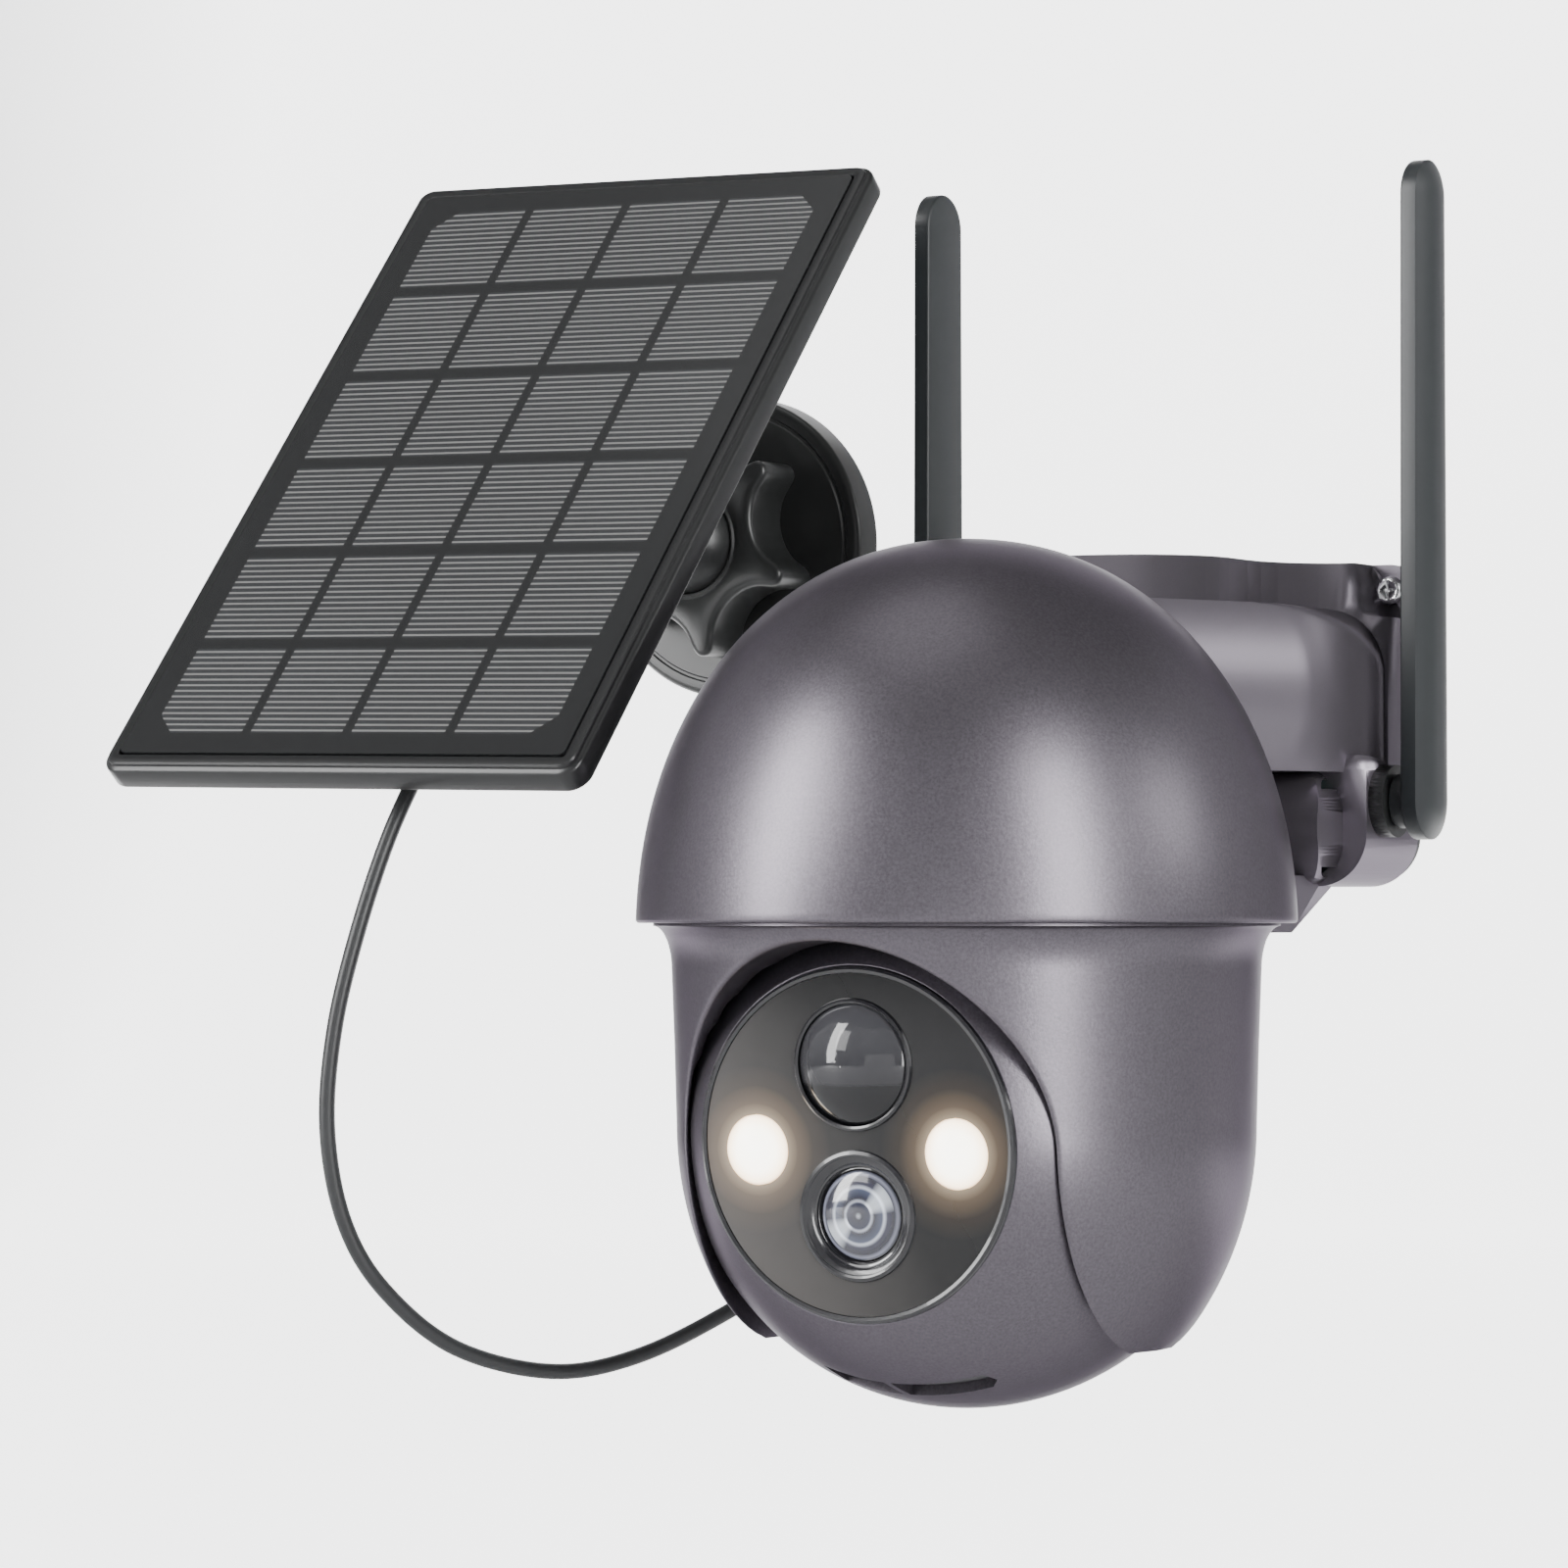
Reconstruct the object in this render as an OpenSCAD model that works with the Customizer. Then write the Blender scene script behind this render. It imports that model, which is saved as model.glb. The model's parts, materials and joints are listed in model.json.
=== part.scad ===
// Solar-powered pan and tilt security camera for a wall.
// Frame: origin on the wall at the centre of the camera's wall plate, +Z up, the front faces -Y.

/* [Hood] */
// Diameter of the hood at its rim
hood_d = 120; // [119:0.5:121]
// Height of the hood from its rim to its crown
hood_h = 69.7; // [69:0.1:71]
// Wall of the hood
hood_wall = 2.4; // [2:0.1:2.6]
// Distance from the wall to the pan axis
reach = 105; // [104.5:0.5:106]
// Height of the hood's rim, measured from the wall plate's centre
rim_z = -38; // [-38.5:0.1:-37.5]

/* [Head] */
// Radius of the ball that holds the lens
ball_r = 51.3; // [51:0.1:51.4]
// Half width of the ball between its two flat sides
ball_half_w = 36.7; // [36.3:0.1:36.8]
// Radius of the glossy face
face_r = 30.2; // [29.8:0.1:30.3]
// Drop of the ball's centre below the rim
ball_drop = 36.3; // [36:0.1:36.6]
// Downward tilt of the face at rest
rest_tilt = 3.6; // [3:0.1:4]

/* [Yoke] */
// Half width of the tunnel between the cheeks
tunnel_r = 37.2; // [37.1:0.1:37.4]
// Wall of the moulded shells
shell_wall = 2.2; // [2:0.1:2.4]

/* [Gears] */
// Module of the pan gears
pan_module = 0.8; // [0.76:0.02:0.82]
// Teeth on the pan ring gear
pan_teeth = 56; // [48:8:56]
// Module of the tilt gears
tilt_module = 0.6; // [0.56:0.02:0.6]
// Teeth on the tilt gear
tilt_teeth = 40; // [36:2:40]
// Teeth on each motor's pinion
pinion_teeth = 14; // [14:4:18]

/* [Bracket] */
// Width of the bracket's box
box_w = 88; // [87:0.5:88.5]
// Height of the bracket's box
box_h = 62; // [61:0.5:63]
// Radius of the battery tube
tube_r = 10.5; // [10.4:0.1:10.7]

/* [Antennas] */
// Overall length of an antenna blade
blade_l = 129.3; // [110:1:140]
// Thickness of an antenna blade
blade_t = 5; // [4:0.2:5.4]

/* [Solar panel] */
// Width of the panel
panel_w = 108; // [104:1:109]
// Length of the panel up its slope
panel_l = 160; // [150:1:162]
// Thickness of the panel
panel_t = 6; // [5.8:0.1:6.2]
// Slope of the panel from level
panel_tilt = 49.4; // [49:0.1:50]
// Turn of the panel in its own plane
panel_roll = -1.5; // [-2:0.5:0]
// Radius of the ball joint's ball
stud_ball_r = 11; // [10.8:0.1:11]

/* [Hidden] */

$fn = 96;
e = 0.01;                   // overlap that joins solids of one piece
running_gap = 0.05;

// Hood and yoke, heights above the rim
hood_r = hood_d / 2;
hood_power = 2.11;          // between an ellipse and a box
hood_sink = 3.1;            // the dome's widest level is this far below the rim
arch_z = -40.4;             // centre of the tunnel's round top
cheek_low = -77;            // tips of the two cheeks
shell_top = 16;             // top of the yoke's shell, where the turntable sits
deck = [16, 18.7];          // underside and top of the turntable
base = [25.5, 28];          // underside and top of the hood's base plate
base_r = 51.6;
hub_r = 9;
hub_bore_r = 6;
hub_top = 33;
collar_r = 13;
pan_distance = pan_module * (pan_teeth + pinion_teeth) / 2;
gear_t = 4;
motor_r = 12;
motor_shaft_r = 2.5;
boss_ring_r = 44;
boss_angles = [-45, -135, 20, 160];
board_posts = [[20, -25], [-20, -25], [20, 12], [-20, 12]];
modem_z = 45;

// Head, in the ball's own frame: x to the side, -y out of the face
ball_z = rim_z - ball_drop;
ball_gap = 0.7;             // between the ball and the yoke's dome
head_wall = 2;
face_y = 40.3;              // flat front of the ball
seam_y = 10;
pir_r = 10.8;
pir_up = 14.1;
lens_r = 10.9;
lens_down = 12.5;
led_r = 6.2;
led_at = [20, -1.2];
trunnion_r = 6;
tilt_distance = tilt_module * (tilt_teeth + pinion_teeth) / 2;
tilt_gear_x = [29.6, 33.2];
speaker_angle = 28;         // forward of straight down
speaker_r = 10.5;

// Gears
pressure_angle = 20;
tooth_slack = 0.16;         // backlash taken off each tooth at the pitch circle
flank_steps = 3;

// Bracket
plate_t = 3;
box_depth = 17;
bay_depth = 27;             // the battery bay stands further out than the box
bay_top = 32;               // above the rim
low_corner_r = 10;
arm_z = [30, 60];           // underside and top of the arm, above the rim
apron_low = 28.9;           // underside of the arm's skirt
arm_back_w = 43;
arm_front = [16, -74];
neck_top = 69;
neck_half_w = 23.5;
neck_nose_y = -44;
neck_nose = 20.5;
tab_at = [41, 26];
tab_edge = [37.2, 20.5];
tab_depth = 9;
tube_at = [-28, rim_z + 18];
tube_half_l = 39;
cell_r = 9.1;
cell_half_l = 32.5;
wall_holes = [30, 20];
wall_hole_r = 2.25;
port_at = [0, -38];
port_r = 5.5;
cradle_half_w = 34;
cradle_low = -1.8;

// Antennas
antenna_at = [-19.4, rim_z + 23.2];
socket_flange_r = 6.9;
blade_x = 50.8;
blade_low_r = 7.5;
blade_top_r = 6.85;
blade_dome_r = 13;          // curve of the outer face

// Solar mount
solar_at = [-108.2, 39.4];
stud_ball_y = 20.5;         // distance of the ball joint's centre from the wall
liner_t = 1.4;
nut_y = [12.2, 24.8];
cover_r = 31;
cover_t = 8;
solar_hole_ring_r = 22;
solar_hole_r = 2.2;
arm_rod_r = 5;

// Panel, in its own frame: x across, y up the slope, z out of the face
panel_at = [solar_at[0], -96.8, 51.5];
frame_wall = 3.5;
box_back = 13;              // back of the junction box below the panel's face
box_size = [40, 50];
box_shift = -5;
gland_at = [10, -40, -9.6];
elbow_back = (panel_at[2] - solar_at[1]) / cos(panel_tilt);
elbow_y = panel_at[1] + elbow_back * sin(panel_tilt);

// The cord leaves the gland, hangs in a free loop below the panel and goes up into the plug.
cord_d = 3;
plug_z = [-54, -40];
cord_route = concat([panel_point(gland_at + [0, -0.3, 0])], [
    [-99.3, -121.5, 7.8], [-100, -131, -6], [-102.5, -140, -22], [-105.5, -146, -40],
    [-108.5, -149, -58], [-110, -149, -76], [-109, -145, -93], [-105.5, -137, -106], [-99.5, -122, -117.5],
    [-91.5, -101, -123], [-84, -82, -121], [-75, -62, -113], [-62, -49, -101.5], [-45, -42, -91],
    [-27, -39, -82.5], [-11, -38.2, -74], [-2.5, -38, -65], [port_at[0], port_at[1], plug_z[0] - 0.1]]);
cord_rings_per_span = 4;
cord_sides = 8;

// ---- frames and shared shapes ----

module at_rim() translate([0, -reach, rim_z]) children();
module at_head() translate([0, -reach, ball_z]) rotate([rest_tilt, 0, 0]) children();
module at_panel() translate(panel_at) rotate([panel_tilt, 0, 0]) rotate([0, 0, panel_roll]) children();
// The solar mount's own frame: local z runs out from the wall.
module at_solar() translate([solar_at[0], 0, solar_at[1]]) rotate([90, 0, 0]) children();
// Turns local z to +X, local x to +Y and local y to +Z.
module along_x() rotate([90, 0, 90]) children();
// Turns local z to -Y and local y to +Z.
module along_front() rotate([90, 0, 0]) children();
module both_sides() {
    children();
    mirror([1, 0, 0]) children();
}

// A point of the panel's own frame in the part's frame.
function panel_point(p) =
    let (x = p[0] * cos(panel_roll) - p[1] * sin(panel_roll), y = p[0] * sin(panel_roll) + p[1] * cos(panel_roll))
    [panel_at[0] + x,
     panel_at[1] + y * cos(panel_tilt) - p[2] * sin(panel_tilt),
     panel_at[2] + y * sin(panel_tilt) + p[2] * cos(panel_tilt)];

module tube(r, bore, h) difference() {
    cylinder(r = r, h = h);
    translate([0, 0, -1]) cylinder(r = bore, h = h + 2);
}

module rounded_square(w, h, r) {
    square([w - 2 * r, h], center = true);
    square([w, h - 2 * r], center = true);
    for (x = [-1, 1], y = [-1, 1])
        translate([x * (w / 2 - r), y * (h / 2 - r)]) circle(r = r, $fn = 32);
}

module rounded_slab(w, h, t, r) linear_extrude(t) rounded_square(w, h, r);

// Half outline of a dome as [radius, height above the rim]: a superellipse of half width a and height b.
function dome(a, b) = let (steps = 26, start = asin(pow(hood_sink / b, hood_power / 2)))
    [for (i = [0 : steps]) let (t = start + (90 - start) * i / steps)
        [a * pow(max(cos(t), 0), 2 / hood_power), b * pow(sin(t), 2 / hood_power) - hood_sink]];

function reversed(list) = [for (i = [len(list) - 1 : -1 : 0]) list[i]];

// The space inside the hood.
module hood_inside() rotate_extrude() polygon(concat([[0, 0]],
    dome(hood_r - hood_wall, hood_h + hood_sink - hood_wall)));

// A lens cap: a spherical cap of radius r and height h on a skirt, of even wall, opening towards -z.
module cap_lens(r, h, skirt, wall) {
    big = (r * r + h * h) / (2 * h);
    edge = asin(r / big);
    steps = 12;
    outer = [for (i = [0 : steps]) let (a = edge * i / steps) [big * sin(a), h - big + big * cos(a)]];
    inner = [for (p = outer) [p[0] * (r - wall) / r, p[1] - wall]];
    rotate_extrude() polygon(concat(outer, [[r, -skirt], [r - wall, -skirt]], reversed(inner)));
}

function polar(r, a) = [r * cos(a), r * sin(a)];
function involute(a) = tan(a) * 180 / PI - a;

// Spur gear outline with a tooth centred on +X. Each flank is an involute from the base circle to the tip.
function gear_points(m, n) =
    let (pitch = m * n / 2,
         base_circle = pitch * cos(pressure_angle),
         root = pitch - 1.2 * m,
         foot = max(base_circle, root) + e,
         tip = pitch + 0.95 * m,
         half = 90 / n - tooth_slack / pitch * 90 / PI + involute(pressure_angle),
         radii = [for (i = [0 : flank_steps]) foot + (tip - foot) * i / flank_steps],
         width = [for (r = radii) half - involute(acos(base_circle / r))])
    [for (k = [0 : n - 1]) let (a = k * 360 / n)
        each concat([polar(root, a - width[0])],
                    [for (i = [0 : flank_steps]) polar(radii[i], a - width[i])],
                    [for (i = [flank_steps : -1 : 0]) polar(radii[i], a + width[i])],
                    [polar(root, a + width[0])])];

// ---- bracket ----

// Front outline of the box: the lower corners are rounder than the upper ones.
module box_outline(inset, top = box_h / 2) {
    w = box_w / 2 - inset;
    low = -box_h / 2 + inset;
    high = top - inset;
    low_r = low_corner_r - inset;
    high_r = 3;
    translate([-w, low + low_r]) square([2 * w, high - low - low_r - high_r]);
    translate([-w + low_r, low]) square([2 * (w - low_r), low_r + e]);
    translate([-w + high_r, high - high_r - e]) square([2 * (w - high_r), high_r + e]);
    for (s = [-1, 1]) {
        translate([s * (w - low_r), low + low_r]) circle(r = low_r, $fn = 48);
        translate([s * (w - high_r), high - high_r]) circle(r = high_r, $fn = 32);
    }
}

// Slab of the box outline from y = -from to y = -to.
module box_slab(from, to, inset, top = box_h / 2)
    translate([0, -from, 0]) along_front() linear_extrude(to - from) box_outline(inset, top);

// Plan of the neck: a rounded nose that flares out to the box in a concave quarter ellipse.
function neck_side(g) = concat(
    [[38 + g, -10]],
    [for (a = [0 : 15 : 90]) [38 + g - (38 - neck_half_w) * sin(a), -36 + (36 - box_depth) * cos(a)]],
    [for (a = [0 : 10 : 90]) [(neck_half_w + g) * cos(a), neck_nose_y - (neck_nose + g) * sin(a)]]);

function wedge_plan(g) = [
    [arm_back_w + g, -10], [arm_back_w + g, -18], [arm_front[0] + g, arm_front[1] - g],
    [-arm_front[0] - g, arm_front[1] - g], [-arm_back_w - g, -18], [-arm_back_w - g, -10]];

// The arm from the box into the hood, grown by g on every side: a neck and a wider wedge below its top.
module arm(g) {
    side = neck_side(g);
    translate([0, 0, rim_z + arm_z[0] - g]) linear_extrude(neck_top - arm_z[0] + 2 * g)
        polygon(concat(side, [for (p = reversed(side)) [-p[0], p[1]]]));
    intersection() {
        translate([0, 0, rim_z + arm_z[0] - g]) linear_extrude(arm_z[1] - arm_z[0] + 2 * g)
            polygon(wedge_plan(g));
        translate([0, -5, rim_z]) along_front() linear_extrude(80) arm_section(g);
    }
}

// Skirt of the wedge: it closes the space between the arm and the battery tube, outside the hood.
module apron() difference() {
    translate([0, 0, rim_z + apron_low]) linear_extrude(arm_z[0] - apron_low + 1) polygon(wedge_plan(0));
    at_rim() translate([0, 0, apron_low - e]) cylinder(r1 = 55.3, r2 = 54.6, h = arm_z[0] - apron_low + 1 + 2 * e);
}

// Front outline of the wedge: large radii above, small ones below.
module arm_section(g) {
    w = arm_back_w + g;
    low = arm_z[0] - g;
    high = arm_z[1] + g;
    high_r = 13;
    low_r = 6;
    translate([-w, low + low_r]) square([2 * w, high - low - low_r - high_r]);
    translate([-w + high_r, high - high_r - e]) square([2 * (w - high_r), high_r + e]);
    translate([-w + low_r, low]) square([2 * (w - low_r), low_r + e]);
    for (s = [-1, 1]) {
        translate([s * (w - high_r), high - high_r]) circle(r = high_r, $fn = 48);
        translate([s * (w - low_r), low + low_r]) circle(r = low_r, $fn = 32);
    }
}

// The cradle below the box, cut to follow the back of the hood and open underneath.
module cradle() difference() {
    translate([-cradle_half_w, 0, rim_z]) along_x() linear_extrude(2 * cradle_half_w)
        polygon([[-14, 8], [-21, 7], [-39, cradle_low], [-56, cradle_low], [-56, 9], [-14, 9]]);
    at_rim() translate([0, 0, -10]) cylinder(r = hood_r + 0.3, h = 40);
    both_sides() translate([9, -44, rim_z - 5]) cube([cradle_half_w - 9 - shell_wall, 22, 12]);
}

module wall_plate() color("dimgray") difference() {
    box_slab(0, plate_t, 0.8);
    for (x = [-1, 1], z = [-1, 1])
        translate([x * wall_holes[0], 1, z * wall_holes[1]]) along_front() cylinder(r = wall_hole_r, h = 9);
    for (x = [-1, 1])
        translate([x * tab_at[0], 1, tab_at[1]]) along_front() cylinder(r = 1.55, h = 9);
}

// Corner tab: the box is cut back to tab_depth outside a rounded edge.
module tab_cut() both_sides() translate([0, -tab_depth, 0]) along_front() linear_extrude(40) {
    translate([tab_edge[0] + 4, tab_edge[1]]) square([30, 40]);
    translate([tab_edge[0], tab_edge[1] + 4]) square([30, 40]);
    translate([tab_edge[0] + 4, tab_edge[1] + 4]) circle(r = 4, $fn = 32);
}

module bracket_housing() color("slategray") difference() {
    union() {
        box_slab(plate_t, box_depth, 0);
        box_slab(plate_t, bay_depth, 0, rim_z + bay_top);
        arm(0);
        apron();
        cradle();
    }
    difference() {
        union() {
            box_slab(plate_t - 1, box_depth - shell_wall, shell_wall);
            box_slab(plate_t - 1, bay_depth - shell_wall, shell_wall, rim_z + bay_top);
            arm(-shell_wall);
        }
        both_sides() translate([tab_edge[0] - shell_wall, -30, tab_edge[1] - shell_wall]) cube([20, 40, 40]);
    }
    tab_cut();
    intersection() {
        translate([-tube_half_l - 0.02, tube_at[0], tube_at[1]]) along_x() cylinder(r = tube_r + 0.02, h = 2 * tube_half_l + 0.04);
        translate([0, -bay_depth, tube_at[1]]) along_front() linear_extrude(30) rounded_square(2 * tube_half_l + 0.04, 2 * tube_r + 1.04, 8);
    }
    translate([-34, tube_at[0], tube_at[1]]) along_x() cylinder(r = 9.4, h = 68);
    translate([-37.8, tube_at[0], tube_at[1]]) along_x() cylinder(r = 6, h = 75.6);
    translate([0, 0, rim_z + 36]) translate([0, -60, 0]) along_front() cylinder(r = 5, h = 30);
    for (x = [-1, 1])
        translate([x * tab_at[0], 1, tab_at[1]]) along_front() cylinder(r = 1.6, h = 30);
    both_sides() translate([box_w / 2 - 8, antenna_at[0], antenna_at[1]]) along_x() cylinder(r = 5, h = 20);
    translate([port_at[0], port_at[1], plug_z[1] - 1]) cylinder(r = port_r + e, h = 9.5);
}

module housing_screws() color("silver") for (x = [-1, 1])
    translate([x * tab_at[0], -0.5, tab_at[1]]) along_front() {
        cylinder(r = 1.5, h = tab_depth - 0.5 + e);
        translate([0, 0, tab_depth - 0.5]) difference() {
            cylinder(r1 = 2.8, r2 = 2.3, h = 1.7);
            for (a = [0, 90]) rotate([0, 0, a]) translate([-1.7, -0.35, 0.7]) cube([3.4, 0.7, 2]);
        }
    }

// Cover of the battery tube: the part of a rounded tube that stands out of the bay.
module battery_door() color("slategray") difference() {
    intersection() {
        translate([-tube_half_l, tube_at[0], tube_at[1]]) along_x() cylinder(r = tube_r, h = 2 * tube_half_l);
        translate([0, -bay_depth - 0.05, tube_at[1]]) along_front() linear_extrude(30)
            rounded_square(2 * tube_half_l, 2 * tube_r + 1, 8);
    }
    translate([-tube_half_l + 1.3, tube_at[0], tube_at[1]]) along_x()
        cylinder(r = tube_r - 1.2, h = 2 * tube_half_l - 2.6);
}

module battery_cell() color("seagreen") translate([-cell_half_l, tube_at[0], tube_at[1]]) along_x() {
    cylinder(r = cell_r, h = 2 * cell_half_l - 1);
    cylinder(r = 3, h = 2 * cell_half_l);
}

// Contact springs at both ends of the cell, each a stack of three plain rings.
module battery_springs() color("silver") both_sides()
    for (i = [0 : 2])
        translate([cell_half_l + 0.1 + 1.4 * i, tube_at[0], tube_at[1]]) along_x() tube(5 - i * 0.8, 3.2 - i * 0.8, 1.4);

module charge_board() color("darkgreen") translate([0, -8, 4]) along_front() {
    rounded_slab(56, 34, 1.6, 1);
    for (x = [-25, 25], z = [-14, 14]) translate([x, z, plate_t - 8]) cylinder(r = 2, h = 8 - plate_t + e);
    translate([-16, 4, 1.6]) linear_extrude(2.4) square([12, 9]);
    translate([8, -4, 1.6]) cylinder(r = 3, h = 3.6);
}

module power_port() color("black") translate([port_at[0], port_at[1], plug_z[1]]) difference() {
    cylinder(r = port_r, h = 8.4);
    translate([0, 0, -1]) cylinder(r = 2.9, h = 7.4);
}

// ---- hood ----

module hood() color("slategray") difference() {
    union() {
        at_rim() rotate_extrude() polygon(concat(dome(hood_r, hood_h + hood_sink),
            reversed(dome(hood_r - hood_wall, hood_h + hood_sink - hood_wall))));
        at_rim() intersection() {
            for (a = boss_angles) rotate([0, 0, a]) translate([boss_ring_r, 0, base[1]]) cylinder(r = 3.5, h = 40);
            hood_inside();
        }
    }
    arm(0.25);
    at_rim() for (a = boss_angles) rotate([0, 0, a]) translate([boss_ring_r, 0, base[1] - 1]) cylinder(r = 1.25, h = 8);
}

module hood_base() color("gray") at_rim() {
    difference() {
        translate([0, 0, base[0]]) cylinder(r = base_r, h = base[1] - base[0]);
        translate([0, 0, base[0] - 1]) cylinder(r = hub_r + 2.05, h = 5);
        translate([0, -pan_distance, base[0] - 1]) cylinder(r = motor_shaft_r + 0.7, h = 5);
        for (a = boss_angles) rotate([0, 0, a]) translate([boss_ring_r, 0, base[0] - 1]) cylinder(r = 1.6, h = 5);
    }
    for (p = board_posts) translate([p[0], p[1], base[1] - e]) cylinder(r = 2, h = modem_z - base[1] + e);
}

module hood_screws() color("silver") at_rim() for (a = boss_angles)
    rotate([0, 0, a]) translate([boss_ring_r, 0, base[0] - 2]) {
        cylinder(r = 2.8, h = 2);
        cylinder(r = 1.2, h = 9.5);
    }

module pan_bush() color("ivory") at_rim() {
    translate([0, 0, base[0] - 0.4]) tube(hub_r + 2, hub_r + running_gap, base[1] - base[0] + 0.4 + e);
    translate([0, 0, base[1]]) tube(collar_r + 0.5, hub_r + running_gap, 0.9);
}

module pan_motor() color("silver") at_rim() translate([0, -pan_distance, base[1] + 0.05]) difference() {
    union() {
        cylinder(r = motor_r, h = 13);
        linear_extrude(1) rounded_square(34, 7, 3.4);
    }
    translate([0, 0, -1]) cylinder(r = motor_shaft_r + running_gap, h = 5);
}

module pan_pinion() color("white") at_rim() translate([0, -pan_distance, deck[1] + 0.2]) {
    linear_extrude(gear_t - 0.4) polygon(gear_points(pan_module, pinion_teeth));
    cylinder(r = motor_shaft_r, h = 12.5);
}

module modem_board() color("darkgreen") at_rim() translate([0, -6.5, modem_z]) {
    rounded_slab(50, 44, 1.6, 2);
    translate([-12, 2, 1.6]) linear_extrude(2.6) square([22, 14]);
    translate([4, -16, 1.6]) linear_extrude(1.4) square([14, 12]);
}

// ---- antennas ----

module antenna_sockets() color("dimgray") both_sides()
    translate([0, antenna_at[0], antenna_at[1]]) along_x() difference() {
        union() {
            translate([0, 0, box_w / 2 - 3.4]) cylinder(r = 4.95, h = 3.4 + e);
            translate([0, 0, box_w / 2]) cylinder(r = socket_flange_r, h = 3);
        }
        translate([0, 0, 30]) cylinder(r = 3 + running_gap, h = 30);
    }

// Outline of a blade, y up from the pivot: two round ends and straight tapering sides.
module blade_outline() {
    drop = 7.4;
    low = blade_low_r - drop;
    high = blade_l - drop - blade_top_r;
    lean = asin((blade_low_r - blade_top_r) / (high - low));
    translate([0, low]) circle(r = blade_low_r);
    translate([0, high]) circle(r = blade_top_r);
    right = [polar(blade_low_r, lean) + [0, low], polar(blade_top_r, lean) + [0, high]];
    polygon(concat(right, [for (p = reversed(right)) [-p[0], p[1]]]));
}

// An antenna on the +X side: a pin, a neck and a blade with a flat rim and a domed outer face.
module antenna() translate([0, antenna_at[0], antenna_at[1]]) along_x() {
    translate([0, 0, box_w / 2 - 3]) cylinder(r = 3, h = blade_x - box_w / 2 + 3 + e);
    translate([0, 0, box_w / 2 + 3.3]) cylinder(r = 5.2, h = blade_x - box_w / 2 - 3.3 + e);
    intersection() {
        translate([0, 0, blade_x]) linear_extrude(blade_t) blade_outline();
        translate([0, -20, blade_x + blade_t - blade_dome_r]) rotate([-90, 0, 0])
            cylinder(r = blade_dome_r, h = blade_l + 20);
    }
}

module antenna_right() color("darkslategray") antenna();
module antenna_left() color("darkslategray") mirror([1, 0, 0]) antenna();

// ---- yoke ----

// Half outline of the yoke from its lower tips to its top, inset by g.
function yoke_side(g) = concat(
    [for (i = [0 : 10]) let (z = cheek_low + (-ball_drop - cheek_low) * i / 10)
        [52.5 * sqrt(1 - pow((z + ball_drop) / 58.2, 2)) - g, z]],
    [[53.4 - g, -8.5]],
    [for (a = [15 : 15 : 90]) [56.8 - g - 3.4 * cos(a), -8.5 + 8 * sin(a)]],
    [[56.8 - g, 2.4], [53.4 - g, 5], [53.4 - g, shell_top]]);

module yoke_body(g, top) rotate_extrude() polygon(concat([[0, cheek_low]], yoke_side(g), [[53.4 - g, top], [0, top]]));

// The tunnel that the ball sits in: straight walls under a round top, front to back.
module tunnel(g) {
    translate([0, 80, arch_z]) rotate([90, 0, 0]) cylinder(r = tunnel_r + g, h = 160);
    translate([-tunnel_r - g, -80, -100]) cube([2 * (tunnel_r + g), 160, 100 + arch_z]);
}

module ball_space(r, half_w) intersection() {
    translate([0, 0, -ball_drop]) sphere(r = r);
    translate([-half_w, -80, -100]) cube([2 * half_w, 160, 200]);
}

module yoke_shell() color("slategray") at_rim() difference() {
    yoke_body(0, shell_top);
    tunnel(0);
    ball_space(ball_r + ball_gap, tunnel_r);
    difference() {
        yoke_body(shell_wall, shell_top + 1);
        tunnel(shell_wall);
        ball_space(ball_r + ball_gap + shell_wall, tunnel_r + shell_wall);
    }
    translate([0, 0, 12]) cylinder(r = 30, h = 10);
    translate([-50, 0, -ball_drop]) along_x() cylinder(r = trunnion_r + running_gap, h = 100);
}

module turntable() color("gray") at_rim() difference() {
    union() {
        translate([0, 0, deck[0]]) cylinder(r = 53.2, h = deck[1] - deck[0]);
        translate([0, 0, deck[1] - e]) cylinder(r = hub_r, h = hub_top - deck[1] + e);
    }
    translate([0, 0, deck[0] - 1]) cylinder(r = hub_bore_r, h = 40);
}

module pan_gear() color("white") at_rim() translate([0, 0, deck[1]]) linear_extrude(gear_t) difference() {
    polygon(gear_points(pan_module, pan_teeth));
    circle(r = 14);
}

module hub_collar() color("silver") at_rim() translate([0, 0, base[1] + 1.3]) tube(collar_r, hub_r + 0.02, 2.8);

// Hollow pivots that pass the cable from each cheek into the ball.
module tilt_trunnions() color("silver") translate([0, -reach, ball_z]) both_sides() along_x() {
    inner = tilt_gear_x[0] - 0.8;
    cheek = tunnel_r + shell_wall;
    translate([0, 0, inner]) tube(trunnion_r, 4, cheek + 1.8 - inner);
    translate([0, 0, cheek + 0.1]) tube(9, trunnion_r - e, 1.7);
}

module tilt_gear() color("white") at_head() translate([tilt_gear_x[0], 0, 0]) along_x()
    linear_extrude(tilt_gear_x[1] - tilt_gear_x[0]) difference() {
        polygon(gear_points(tilt_module, tilt_teeth));
        circle(r = trunnion_r + 0.02);
    }

// ---- head ----

// Slice of the ball between two y values, with its sides flat.
module ball_slice(r, half_w, from, to) intersection() {
    sphere(r = r);
    translate([-half_w, from, -80]) cube([2 * half_w, to - from, 160]);
}

module trunnion_bores() translate([-50, 0, 0]) along_x() cylinder(r = trunnion_r + 1.6, h = 100);

// Places children at the speaker, with local -z pointing out through the ball.
module at_speaker() rotate([-speaker_angle, 0, 0]) children();

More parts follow.
